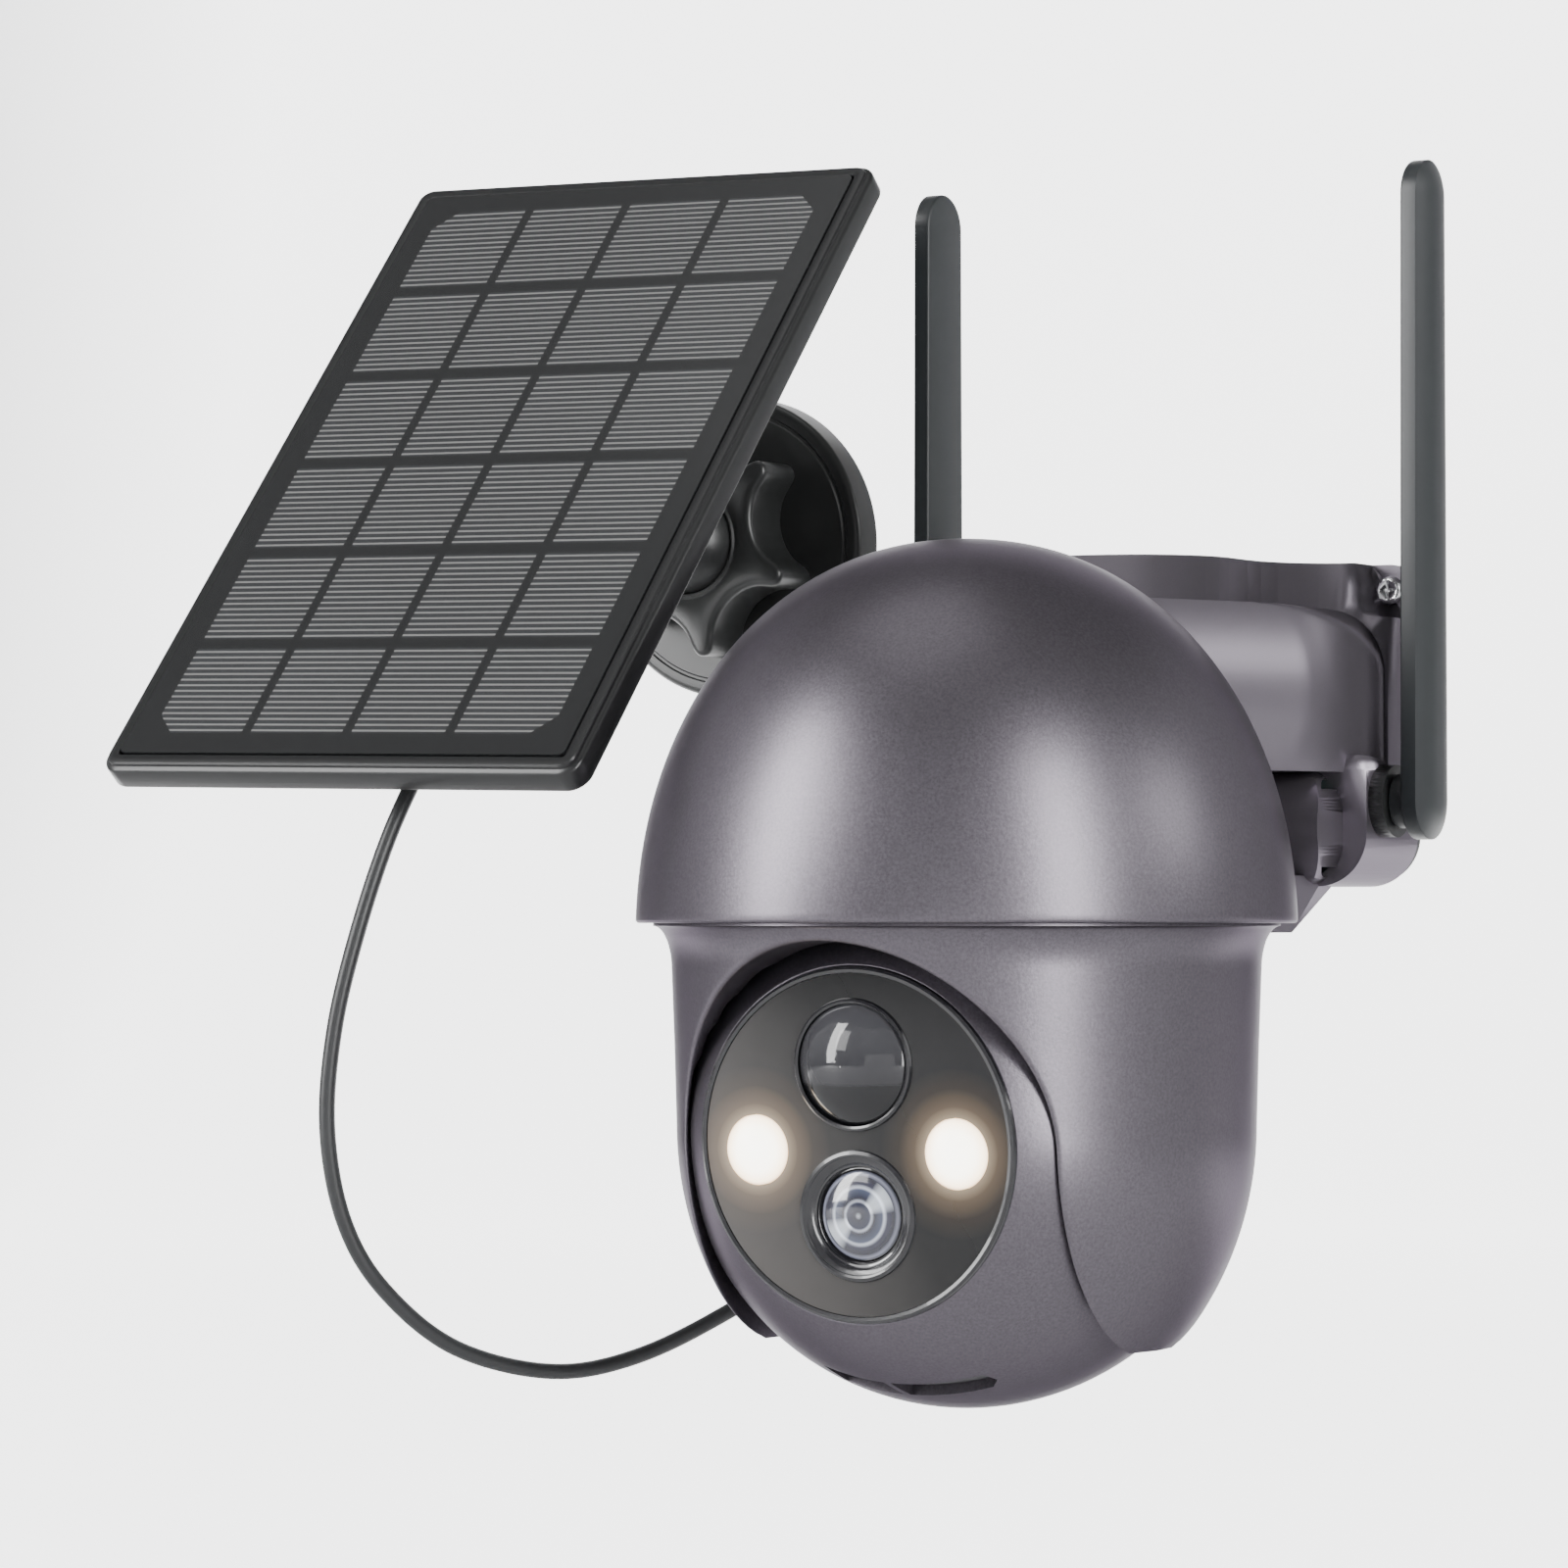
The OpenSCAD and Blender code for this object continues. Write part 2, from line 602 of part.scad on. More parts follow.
// Two slanted slots in front of the speaker.
module speaker_slots() at_speaker() translate([0, 0, -60]) linear_extrude(20) {
    polygon([[-17, -2.8], [-4, -2.8], [-2.6, 2.8], [-14.6, 2.8]]);
    polygon([[-2.6, -2.8], [15.4, -2.8], [16.8, 0.4], [15, 2.8], [-1.2, 2.8]]);
}

module head_front_shell() color("slategray") at_head() difference() {
    ball_slice(ball_r, ball_half_w, -face_y, seam_y - 0.1);
    ball_slice(ball_r - head_wall, ball_half_w - head_wall, -face_y + 4, seam_y + 1);
    translate([0, -30, 0]) along_front() cylinder(r = 27, h = 20);
    translate([0, -face_y + 1.9, 0]) along_front() cylinder(r = face_r + 0.15, h = 5);
    trunnion_bores();
    speaker_slots();
}

module head_rear_shell() color("slategray") at_head() difference() {
    ball_slice(ball_r, ball_half_w, seam_y, 60);
    ball_slice(ball_r - head_wall, ball_half_w - head_wall, seam_y - 1, 60);
}

module face_plate() color("black") at_head() translate([0, -face_y + 1.8, 0]) along_front() difference() {
    cylinder(r = face_r, h = 2.4);
    translate([0, pir_up, -1]) cylinder(r = pir_r + 0.1, h = 5);
    translate([0, -lens_down, -1]) cylinder(r = lens_r + 0.1, h = 5);
    for (s = [-1, 1]) translate([s * led_at[0], led_at[1], -1]) cylinder(r = led_r + 0.1, h = 5);
}

module face_bezel() color("dimgray") at_head() translate([0, -face_y - e, 0]) along_front()
    rotate_extrude() polygon([[face_r + 0.1, 0], [face_r + 1.4, 0], [face_r + 1.2, 0.6], [face_r + 0.7, 0.9], [face_r + 0.1, 0.8]]);

module pir_lens() color("black") at_head() translate([0, -face_y - 0.6, pir_up]) along_front() cap_lens(pir_r, 4.6, 3, 1);

module pir_sensor() color("silver") at_head() translate([0, -34.3, pir_up]) along_front() cylinder(r = 4.5, h = 3.6);

module lens_barrel() color("black") at_head() translate([0, 0, -lens_down]) along_front() difference() {
    union() {
        translate([0, 0, face_y - 2]) cylinder(r = lens_r, h = 2.9);
        translate([0, 0, 20.1]) cylinder(r = 8, h = face_y - 20.1);
    }
    translate([0, 0, face_y - 1.8]) cylinder(r1 = 7.8, r2 = 9.8, h = 2.8);
    translate([0, 0, face_y - 4.5]) cylinder(r = 7.7, h = 5);
    translate([0, 0, 23]) cylinder(r = 5.5, h = 20);
}

module lens_glass() color("midnightblue") at_head() translate([0, -face_y + 2.9, -lens_down]) along_front()
    cap_lens(7.6, 2, 1.4, 1.6);

module image_board() color("darkgreen") at_head() translate([0, -18.5, -lens_down]) along_front() rounded_slab(26, 24, 1.5, 1);

module led_lenses() color("white") at_head() for (s = [-1, 1])
    translate([s * led_at[0], -face_y - 0.5, led_at[1]]) along_front() cap_lens(led_r, 0.9, 3.4, 1);

module led_board() color("darkgreen") at_head() translate([0, -33, 0]) along_front() difference() {
    cylinder(r = 26, h = 1.2);
    translate([0, -lens_down, -1]) cylinder(r = 8.6, h = 4);
}

module head_board() color("darkgreen") at_head() translate([0, -6, 0]) along_front() {
    rounded_slab(50, 50, 1.6, 2);
    translate([-8, -4, 1.6]) linear_extrude(1.6) square([16, 16]);
}

module speaker() color("dimgray") at_head() at_speaker() translate([0, 0, -46.4]) {
    cylinder(r = speaker_r, h = 3);
    translate([0, 0, 3 - e]) cylinder(r = 6, h = 3);
}

module speaker_grille() color("black") at_head() intersection() {
    difference() {
        sphere(r = ball_r - head_wall - 0.1);
        sphere(r = ball_r - head_wall - 1.2);
    }
    at_speaker() translate([-19, -5, -60]) cube([38, 10, 30]);
}

module tilt_motor() color("silver") at_head() translate([tilt_gear_x[0] - 1.2, tilt_distance, 0]) along_x()
    translate([0, 0, -16]) difference() {
        cylinder(r = 10, h = 16);
        translate([0, 0, 9]) cylinder(r = 1.5 + running_gap, h = 10);
    }

module tilt_bushes() color("ivory") at_head() both_sides() along_x() {
    translate([0, 0, ball_half_w - head_wall - e]) tube(trunnion_r + 1.5, trunnion_r + running_gap, head_wall + 0.2);
    translate([0, 0, ball_half_w - head_wall - 0.8]) tube(9, trunnion_r + running_gap, 0.8);
}

module tilt_pinion() color("white") at_head() translate([tilt_gear_x[0] + 0.2, tilt_distance, 0]) along_x() {
    linear_extrude(tilt_gear_x[1] - tilt_gear_x[0] - 0.4) rotate(180 / pinion_teeth)
        polygon(gear_points(tilt_module, pinion_teeth));
    translate([0, 0, -8]) cylinder(r = 1.5, h = 8 + e);
}

// ---- solar mount ----

module solar_base() color("dimgray") at_solar() difference() {
    cylinder(r = cover_r - 2.4, h = 3);
    for (a = [90, 210, 330]) rotate([0, 0, a]) translate([solar_hole_ring_r, 0, -1]) cylinder(r = solar_hole_r, h = 5);
}

module solar_base_cover() color("slategray") at_solar() rotate_extrude()
    polygon([[cover_r, 0], [cover_r, cover_t - 1.5], [cover_r - 1.5, cover_t], [9.3, cover_t],
             [9.3, cover_t - 2], [cover_r - 2, cover_t - 2], [cover_r - 2, 0]]);

module ball_socket() color("dimgray") at_solar() difference() {
    rotate_extrude() polygon([[0, 3], [9, 3], [9, 8.6], [13.9, 10.5], [13.9, stud_ball_y - 0.7], [0, stud_ball_y - 0.7]]);
    translate([0, 0, stud_ball_y]) sphere(r = stud_ball_r + liner_t + 0.1);
}

// Six-lobed clamping nut: a disc with six round valleys and round finger ends.
module clamp_nut() color("slategray") at_solar() difference() {
    translate([0, 0, nut_y[0]]) linear_extrude(nut_y[1] - nut_y[0]) {
        difference() {
            circle(r = 22.6);
            for (k = [0 : 5]) rotate(60 * k + 10) translate([27.4, 0]) circle(r = 11.7);
        }
        for (k = [0 : 5]) rotate(60 * k + 40) translate([21, 0]) circle(r = 2.7, $fn = 32);
    }
    translate([0, 0, nut_y[0] - 1]) cylinder(r = 14.2, h = stud_ball_y - nut_y[0] + 0.6);
    translate([0, 0, nut_y[0] - 1]) cylinder(r = stud_ball_r + liner_t + 0.1, h = stud_ball_y - nut_y[0] + 4.2);
    translate([0, 0, stud_ball_y]) sphere(r = stud_ball_r + 0.3);
}

// Cup behind the ball. It stays inside the socket and the nut when the arm swings.
module ball_liner() color("black") at_solar() difference() {
    intersection() {
        translate([0, 0, stud_ball_y]) sphere(r = stud_ball_r + liner_t);
        translate([-20, -20, stud_ball_y - 11.8]) cube([40, 40, 8.2]);
    }
    translate([0, 0, stud_ball_y]) sphere(r = stud_ball_r + 0.08);
    translate([-0.6, 0, 0]) cube([1.2, 20, 40]);
}

// Ball, rod and bent end of the panel's arm.
module ball_stud() color("dimgray") {
    at_solar() {
        translate([0, 0, stud_ball_y]) sphere(r = stud_ball_r);
        translate([0, 0, stud_ball_y]) cylinder(r = 4, h = 16);
        translate([0, 0, stud_ball_y + 14]) cylinder(r = arm_rod_r, h = -elbow_y - stud_ball_y - 14);
    }
    translate([solar_at[0], elbow_y, solar_at[1]]) {
        sphere(r = arm_rod_r);
        rotate([panel_tilt, 0, 0]) cylinder(r = arm_rod_r, h = elbow_back - box_back);
    }
    at_panel() translate([0, 0, -box_back - 1.6]) cylinder(r = 8, h = 1.6);
}

// ---- panel ----

module panel_frame() color("dimgray") at_panel() difference() {
    union() {
        translate([0, 0, -panel_t]) rounded_slab(panel_w, panel_l, panel_t - 1.2, 3.5);
        translate([0, 0, -1.2 - e]) rounded_slab(panel_w - 1.4, panel_l - 1.4, 1.2 + e, 3);
    }
    translate([0, 0, -2.3]) rounded_slab(panel_w - 2 * frame_wall, panel_l - 2 * frame_wall, 5, 1.5);
    translate([0, 0, -3.5]) rounded_slab(panel_w - 4 * frame_wall, panel_l - 4 * frame_wall, 5, 1.5);
    translate([0, 0, -panel_t - 1]) rounded_slab(panel_w - 2 * frame_wall, panel_l - 2 * frame_wall, panel_t - 2.5, 1.5);
}

module laminate(z, t) at_panel() translate([0, 0, z])
    rounded_slab(panel_w - 2 * frame_wall - 0.2, panel_l - 2 * frame_wall - 0.2, t, 1.4);

module solar_cells() color("midnightblue") laminate(-2.25, 1.05);
module panel_glass() color("lightgray", 0.3) laminate(-1.2, 1);
module panel_back() color("dimgray") laminate(-panel_t, 1.4);

module junction_box() color("dimgray") at_panel() translate([0, box_shift, -box_back]) difference() {
    rounded_slab(box_size[0], box_size[1], box_back - panel_t, 4);
    translate([0, 0, 1.8]) rounded_slab(box_size[0] - 4, box_size[1] - 4, 10, 2.5);
}

module cord_gland() color("black") at_panel()
    translate([gland_at[0], box_shift - box_size[1] / 2, gland_at[2]]) along_front() {
        cylinder(r = 3.2, h = 2);
        translate([0, 0, 2 - e]) cylinder(r1 = 3, r2 = 2, h = -gland_at[1] + box_shift - box_size[1] / 2 - 2 + e);
    }

// ---- cord ----

// A point on the smooth curve through the route, between points i and i + 1.
function route_point(i, t) =
    let (n = len(cord_route) - 1, a = cord_route[max(i - 1, 0)], b = cord_route[i],
         c = cord_route[min(i + 1, n)], d = cord_route[min(i + 2, n)])
    0.5 * (2 * b + (c - a) * t + (2 * a - 5 * b + 4 * c - d) * t * t + (3 * b - a - 3 * c + d) * t * t * t);

function unit(v) = v / norm(v);

// Ring of corners round p, square to the direction d.
function cord_ring(p, d) =
    let (side = unit(cross(d, [0.6, 0.8, 0.01])), up = cross(side, d))
    [for (k = [0 : cord_sides - 1]) let (a = 360 * k / cord_sides) p + cord_d / 2 * (cos(a) * side + sin(a) * up)];

module power_cord() color("black") {
    spans = len(cord_route) - 1;
    path = [for (i = [0 : spans - 1], k = [0 : cord_rings_per_span - 1]) route_point(i, k / cord_rings_per_span),
            cord_route[spans]];
    last = len(path) - 1;
    rings = [for (i = [0 : last]) cord_ring(path[i], unit(path[min(i + 1, last)] - path[max(i - 1, 0)]))];
    s = cord_sides;
    polyhedron(
        points = [for (r = rings) each r],
        faces = concat(
            [[for (k = [0 : s - 1]) k]],
            [for (i = [0 : last - 1], k = [0 : s - 1])
                [i * s + k, (i + 1) * s + k, (i + 1) * s + (k + 1) % s, i * s + (k + 1) % s]],
            [[for (k = [s - 1 : -1 : 0]) last * s + k]]));
}

module cord_plug() color("black") translate([port_at[0], port_at[1], plug_z[0]]) {
    cylinder(r1 = 2.4, r2 = 3.6, h = 5);
    translate([0, 0, 5 - e]) cylinder(r = 4.6, h = 8.9);
    translate([0, 0, 10]) cylinder(r = 2.8, h = 9.4);
}

wall_plate();
bracket_housing();
housing_screws();
battery_door();
battery_cell();
battery_springs();
charge_board();
power_port();
hood();
hood_base();
hood_screws();
pan_bush();
pan_motor();
modem_board();
antenna_sockets();
solar_base();
solar_base_cover();
ball_socket();
power_cord();
cord_plug();
yoke_shell();
turntable();
pan_gear();
hub_collar();
tilt_trunnions();
tilt_gear();
pan_pinion();
head_front_shell();
head_rear_shell();
face_plate();
face_bezel();
pir_lens();
pir_sensor();
lens_barrel();
lens_glass();
image_board();
led_lenses();
led_board();
head_board();
speaker();
speaker_grille();
tilt_motor();
tilt_bushes();
tilt_pinion();
antenna_left();
antenna_right();
clamp_nut();
ball_liner();
ball_stud();
panel_frame();
solar_cells();
panel_glass();
panel_back();
junction_box();
cord_gland();
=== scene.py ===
"""Solar pan and tilt camera: the looks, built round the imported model."""
import json
import math

import bmesh
import bpy
import numpy as np
from mathutils import Matrix, Vector

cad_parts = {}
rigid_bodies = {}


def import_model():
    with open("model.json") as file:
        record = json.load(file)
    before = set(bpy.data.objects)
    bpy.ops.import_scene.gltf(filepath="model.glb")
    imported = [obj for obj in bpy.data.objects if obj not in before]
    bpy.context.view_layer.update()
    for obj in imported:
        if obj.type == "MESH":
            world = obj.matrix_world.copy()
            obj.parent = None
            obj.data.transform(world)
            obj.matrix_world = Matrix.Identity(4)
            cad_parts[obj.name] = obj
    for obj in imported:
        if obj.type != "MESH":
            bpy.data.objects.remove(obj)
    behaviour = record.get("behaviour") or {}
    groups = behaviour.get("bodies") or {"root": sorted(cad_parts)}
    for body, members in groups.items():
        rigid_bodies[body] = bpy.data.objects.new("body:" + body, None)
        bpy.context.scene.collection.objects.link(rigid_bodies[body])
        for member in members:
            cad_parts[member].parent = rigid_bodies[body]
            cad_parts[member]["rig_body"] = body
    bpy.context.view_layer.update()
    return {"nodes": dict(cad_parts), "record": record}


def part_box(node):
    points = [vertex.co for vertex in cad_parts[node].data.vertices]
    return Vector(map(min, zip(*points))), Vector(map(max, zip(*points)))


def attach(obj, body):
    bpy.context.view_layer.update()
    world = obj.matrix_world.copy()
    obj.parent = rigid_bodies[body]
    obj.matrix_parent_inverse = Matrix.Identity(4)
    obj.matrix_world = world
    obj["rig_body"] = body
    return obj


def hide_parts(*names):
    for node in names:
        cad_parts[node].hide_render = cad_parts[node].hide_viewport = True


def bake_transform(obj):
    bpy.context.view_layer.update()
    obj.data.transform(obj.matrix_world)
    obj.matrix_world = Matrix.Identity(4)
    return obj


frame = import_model()

MM = 0.001
pivot = {j["name"]: Vector(j["pos_m"]) for j in frame["record"]["behaviour"]["joints"]}

# ---- frames of the parts, in metres ----
REST_TILT = 3.6
PANEL_TILT = 49.4
PANEL_ROLL = -1.5
PANEL_HALF_T = 3
HEAD_R = 51.3
LENS_Y, PIR_Y, LENS_R = -12.5, 14.1, 8.0          # height of the lens and of the sensor on the face, lens radius


def turn(degrees, axis):
    return Matrix.Rotation(math.radians(degrees), 4, axis)


def middle(node):
    low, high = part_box(node)
    return (low + high) / 2


RIM = Matrix.Translation(pivot["pan"])
HEAD = Matrix.Translation(pivot["tilt"]) @ turn(REST_TILT, "X")
FACE = HEAD @ turn(90, "X")                       # x across, y up, z out of the face
PANEL_TURN = turn(PANEL_TILT, "X") @ turn(PANEL_ROLL, "Z")
PANEL = Matrix.Translation(middle("panel_frame")) @ PANEL_TURN @ Matrix.Translation((0, 0, PANEL_HALF_T * MM))
SOLAR = Matrix.Translation((pivot["panel_swing"].x, 0, pivot["panel_swing"].z)) @ turn(90, "X")
DIAL = FACE @ Matrix.Translation((0, LENS_Y * MM, 0))
PIR = FACE @ Matrix.Translation((0, PIR_Y * MM, 0))
WORLD = Matrix.Identity(4)

# ---- camera, at the height of the hood's rim ----
camera_data = bpy.data.cameras.new("camera")
camera_data.sensor_width = 36
camera_data.lens = 131.6
camera = bpy.data.objects.new("camera", camera_data)
camera.location = (0.4946, -1.0205, -0.038)
camera.rotation_euler = (math.radians(91.39), 0, math.radians(30.2))
bpy.context.scene.collection.objects.link(camera)
bpy.context.scene.camera = camera


# ---- shader maths ----
class Value:
    """A shader socket that takes Python arithmetic and adds its Math nodes."""

    def __init__(self, finish, socket):
        self.finish, self.socket = finish, socket

    def maths(self, operation, *others, first=None):
        items = ([first] if first is not None else []) + [self] + list(others)
        return self.finish.node("ShaderNodeMath", dict(enumerate(items)), operation=operation)

    def __add__(self, other): return self.maths("ADD", other)
    def __radd__(self, other): return self.maths("ADD", other)
    def __sub__(self, other): return self.maths("SUBTRACT", other)
    def __rsub__(self, other): return self.maths("SUBTRACT", first=other)
    def __mul__(self, other): return self.maths("MULTIPLY", other)
    def __rmul__(self, other): return self.maths("MULTIPLY", other)
    def __truediv__(self, other): return self.maths("DIVIDE", other)
    def __abs__(self): return self.maths("ABSOLUTE")
    def __lt__(self, other): return self.maths("LESS_THAN", other)
    def __gt__(self, other): return self.maths("GREATER_THAN", other)
    def __pow__(self, other): return self.maths("POWER", other)
    def __mod__(self, other): return self.maths("FLOORED_MODULO", other)

    def least(self, other): return self.maths("MINIMUM", other)
    def most(self, other): return self.maths("MAXIMUM", other)


class Finish:
    """A material made round one Principled shader, with fixed values set on its own sockets."""

    def __init__(self, name, colour, rough, **fixed):
        self.material = bpy.data.materials.new(name)
        self.material.use_nodes = True
        self.tree = self.material.node_tree
        self.shader = self.tree.nodes["Principled BSDF"]
        self.put("Base Color", (*colour, 1))
        self.put("Roughness", rough)
        for socket, value in fixed.items():
            self.put(socket.replace("_", " "), value)

    def feed(self, socket, value):
        if isinstance(value, Value):
            self.tree.links.new(value.socket, socket)
        else:
            socket.default_value = value

    def put(self, socket, value):
        self.feed(self.shader.inputs[socket], value)

    def node(self, kind, inputs=None, out=0, stops=None, **settings):
        """Adds a node: its settings first, then a ramp's stops, then the values or links of its sockets."""
        made = self.tree.nodes.new(kind)
        for key, value in settings.items():
            setattr(made, key, value)
        if stops:
            elements = made.color_ramp.elements
            elements.remove(elements[1])
            elements[0].position = stops[0][0]
            elements[0].color = (*stops[0][1], 1)
            for position, colour in stops[1:]:
                elements.new(position).color = (*colour, 1)
        for key, value in (inputs or {}).items():
            self.feed(made.inputs[key], value)
        return Value(self, made.outputs[out])

    def place(self, matrix=WORLD, unit=MM):
        """Object coordinates seen from a part's own frame, in millimetres."""
        coords = self.node("ShaderNodeTexCoord", out=3)
        location, rotation, _ = matrix.decompose()
        return self.node("ShaderNodeMapping", {
            "Vector": coords, "Location": location, "Rotation": rotation.to_euler("XYZ"), "Scale": (unit,) * 3},
            vector_type="TEXTURE")

    def split(self, vector):
        made = self.node("ShaderNodeSeparateXYZ", {0: vector})
        sockets = made.socket.node.outputs
        return [Value(self, sockets[i]) for i in range(3)]

    def noise(self, where, scale, detail=2, rough=0.5):
        return self.node("ShaderNodeTexNoise",
                         {"Vector": where, "Scale": scale, "Detail": detail, "Roughness": rough})

    def between(self, low, high, mask):
        """Plain value from low to high as mask goes from 0 to 1."""
        return low + (high - low) * mask

    def mix(self, mask, one, two):
        """Colour one where mask is 0 and colour two where it is 1."""
        made = self.node("ShaderNodeMix", {0: mask}, data_type="RGBA")
        node = made.socket.node
        for socket, colour in ((node.inputs[6], one), (node.inputs[7], two)):
            self.feed(socket, colour if isinstance(colour, Value) else (*colour, 1))
        return Value(self, node.outputs[2])

    def ramp(self, mask, *stops):
        return self.node("ShaderNodeValToRGB", {0: mask}, stops=stops)

    def bump(self, height, distance, strength=1.0):
        self.put("Normal", self.node("ShaderNodeBump", {
            "Height": height, "Distance": distance * MM, "Strength": strength}))

    def length(self, x, y):
        return (x * x + y * y) ** 0.5


def scaled(colour, k):
    return tuple(min(c * k, 1) for c in colour)


def moulded(name, colour, rough, grain=3.0, depth=0.02, vary=0.12, cloud=0.05, **fixed):
    """Moulded or painted plastic: a fine grain that speckles colour and roughness, and a slow cloud of sheen."""
    made = Finish(name, colour, rough, **fixed)
    where = made.place()
    fine = made.noise(where, grain, 3, 0.6)
    slow = made.noise(where, 0.03, 2)
    made.put("Base Color", made.mix(fine, scaled(colour, 1 - vary), scaled(colour, 1 + vary)))
    made.put("Roughness", made.between(rough - 0.04, rough + 0.04, fine) + (slow - 0.5) * cloud)
    made.bump(fine, depth)
    return made


PAINT = (0.128, 0.117, 0.134)
EDGE_TINT = (0.35, 0.33, 0.36, 1)
paint = moulded("satin gunmetal paint", PAINT, 0.35, grain=1.9, depth=0.02, vary=0.36, Metallic=0.85,
                 Specular_Tint=EDGE_TINT)
# Painted light: this paint's colour is the hood's paint made 1.4 times lighter, for the brighter light on the bracket;
# its finer grain is its own.
smooth_paint_with_painted_light = moulded("smooth gunmetal paint", scaled(PAINT, 1.4), 0.34, grain=4.0, depth=0.004, vary=0.08,
                       Metallic=0.80, Specular_Tint=EDGE_TINT)
antenna_rubber = moulded("soft dark antenna plastic", (0.012, 0.0145, 0.016), 0.42, grain=3.0, depth=0.003)
mount_plastic = moulded("satin mount plastic", (0.018, 0.019, 0.019), 0.34, grain=3.0, depth=0.003)
frame_plastic = moulded("dark panel frame", (0.009, 0.0094, 0.0098), 0.34, grain=4.0, depth=0.0015, vary=0.05)
back_plastic = moulded("textured back plastic", (0.03, 0.03, 0.032), 0.55, grain=1.2, depth=0.05)
inner_plastic = moulded("plain inner plastic", (0.12, 0.12, 0.125), 0.5, grain=3.0)
cord_skin = moulded("cord jacket", (0.020, 0.021, 0.022), 0.40, grain=1.6, depth=0.015)
acetal = moulded("white gear plastic", (0.75, 0.74, 0.70), 0.38, grain=2.0, depth=0.006)
board = moulded("circuit board", (0.02, 0.12, 0.06), 0.4, grain=0.8, depth=0.01)
sleeve = moulded("battery sleeve", (0.05, 0.3, 0.2), 0.3, grain=2.0, depth=0.003)
steel = moulded("bright steel", (0.75, 0.75, 0.76), 0.2, grain=2.0, depth=0.004, vary=0.04, Metallic=1.0)
motor_can = moulded("brushed motor can", (0.55, 0.55, 0.56), 0.35, grain=2.0, depth=0.006, Metallic=1.0)
shadow_black = moulded("dark cavity plastic", (0.008, 0.008, 0.009), 0.5, grain=2.0)
black_ring = moulded("satin black ring", (0.010, 0.010, 0.012), 0.25, grain=5.0, depth=0.003, Coat_Weight=0.5)

# Glossy face with a painted reflection, its base colour lighter towards the lower left, and a painted warm glow round
# the lamps, the light they throw on it.
LAMP_X, LAMP_Y = 20.0, -1.2
face_gloss = Finish("gloss black face", (0.006, 0.006, 0.007), 0.06, Specular_IOR_Level=0.3)
fx, fy, _ = face_gloss.split(face_gloss.place(FACE))
face_dust = face_gloss.noise(face_gloss.place(), 0.08, 3)
# Painted reflection: base colour from near black at the upper right to warm grey at the lower left.
face_gloss.put("Base Color", face_gloss.ramp((40 - fx * 0.85 - fy * 0.45) / 80 + (face_dust - 0.5) * 0.06,
                                             (0.0, (0.003, 0.003, 0.004)), (0.45, (0.010, 0.010, 0.010)),
                                             (1.0, (0.085, 0.079, 0.075))))
# Painted light: the face itself emits a warm glow round each lamp.
lamp_gap = face_gloss.length(abs(fx) - LAMP_X, fy - LAMP_Y)
face_gloss.put("Emission Color", face_gloss.ramp((lamp_gap - 6.0) / 9.0,
                                                 (0.0, (0.55, 0.42, 0.28)), (0.25, (0.16, 0.11, 0.065)),
                                                 (0.6, (0.03, 0.02, 0.011)), (1.0, (0.0, 0.0, 0.0))))
face_gloss.put("Emission Strength", 1.0)
face_gloss.put("Roughness", face_gloss.between(0.05, 0.08, face_dust))

# Lamp: a bright warm core that fades to an amber rim.
lamp_glow = Finish("lit lamp lens", (0.9, 0.88, 0.8), 0.2, Emission_Strength=5.0)
lx, ly, _ = lamp_glow.split(lamp_glow.place(FACE))
lamp_r = lamp_glow.length(abs(lx) - LAMP_X, ly - LAMP_Y)
lamp_glow.put("Emission Color", lamp_glow.ramp(lamp_r / 6.4, (0.0, (1, 0.97, 0.9)), (0.62, (1, 0.93, 0.78)),
                                               (0.84, (0.9, 0.66, 0.4)), (1.0, (0.45, 0.26, 0.12))))

# Motion sensor's dome: smoky gloss with a dark lower band and a painted reflection that makes the base colour lighter
# above it, and faint facets moulded inside.
pir_gloss = Finish("smoky sensor dome", (0.010, 0.010, 0.012), 0.07, Specular_IOR_Level=0.55)
_, py, _ = pir_gloss.split(pir_gloss.place(FACE))
facets = pir_gloss.node("ShaderNodeTexVoronoi", {"Vector": pir_gloss.place(FACE), "Scale": 0.28},
                        feature="DISTANCE_TO_EDGE")
PIR_D = 21.6
# Painted reflection: base colour lighter above the lower third of the dome.
pir_gloss.put("Base Color", pir_gloss.ramp((py - (PIR_Y - PIR_D / 2)) / PIR_D, (0.0, (0.003, 0.003, 0.004)),
                                           (0.33, (0.006, 0.006, 0.007)), (0.36, (0.022, 0.022, 0.025)),
                                           (1.0, (0.05, 0.05, 0.055))))
pir_gloss.bump((facets * 3).least(1.0), 0.02, 0.4)

# Camera lens: coated rings round a dark pupil, with painted highlights in a bright centre and bright rings, and painted
# reflections in pale sectors.
lens_rings = Finish("coated lens rings", (0.01, 0.01, 0.014), 0.12, Coat_Weight=1.0, Coat_Roughness=0.02)
gx, gy, _ = lens_rings.split(lens_rings.place(DIAL))
ring_r = lens_rings.length(gx, gy)
angle = gy.maths("ARCTAN2", gx)
reflection_sector = ((angle * 2 + 0.4).maths("SINE") * 2.6 - 1.5).most(0.0).least(1.0)
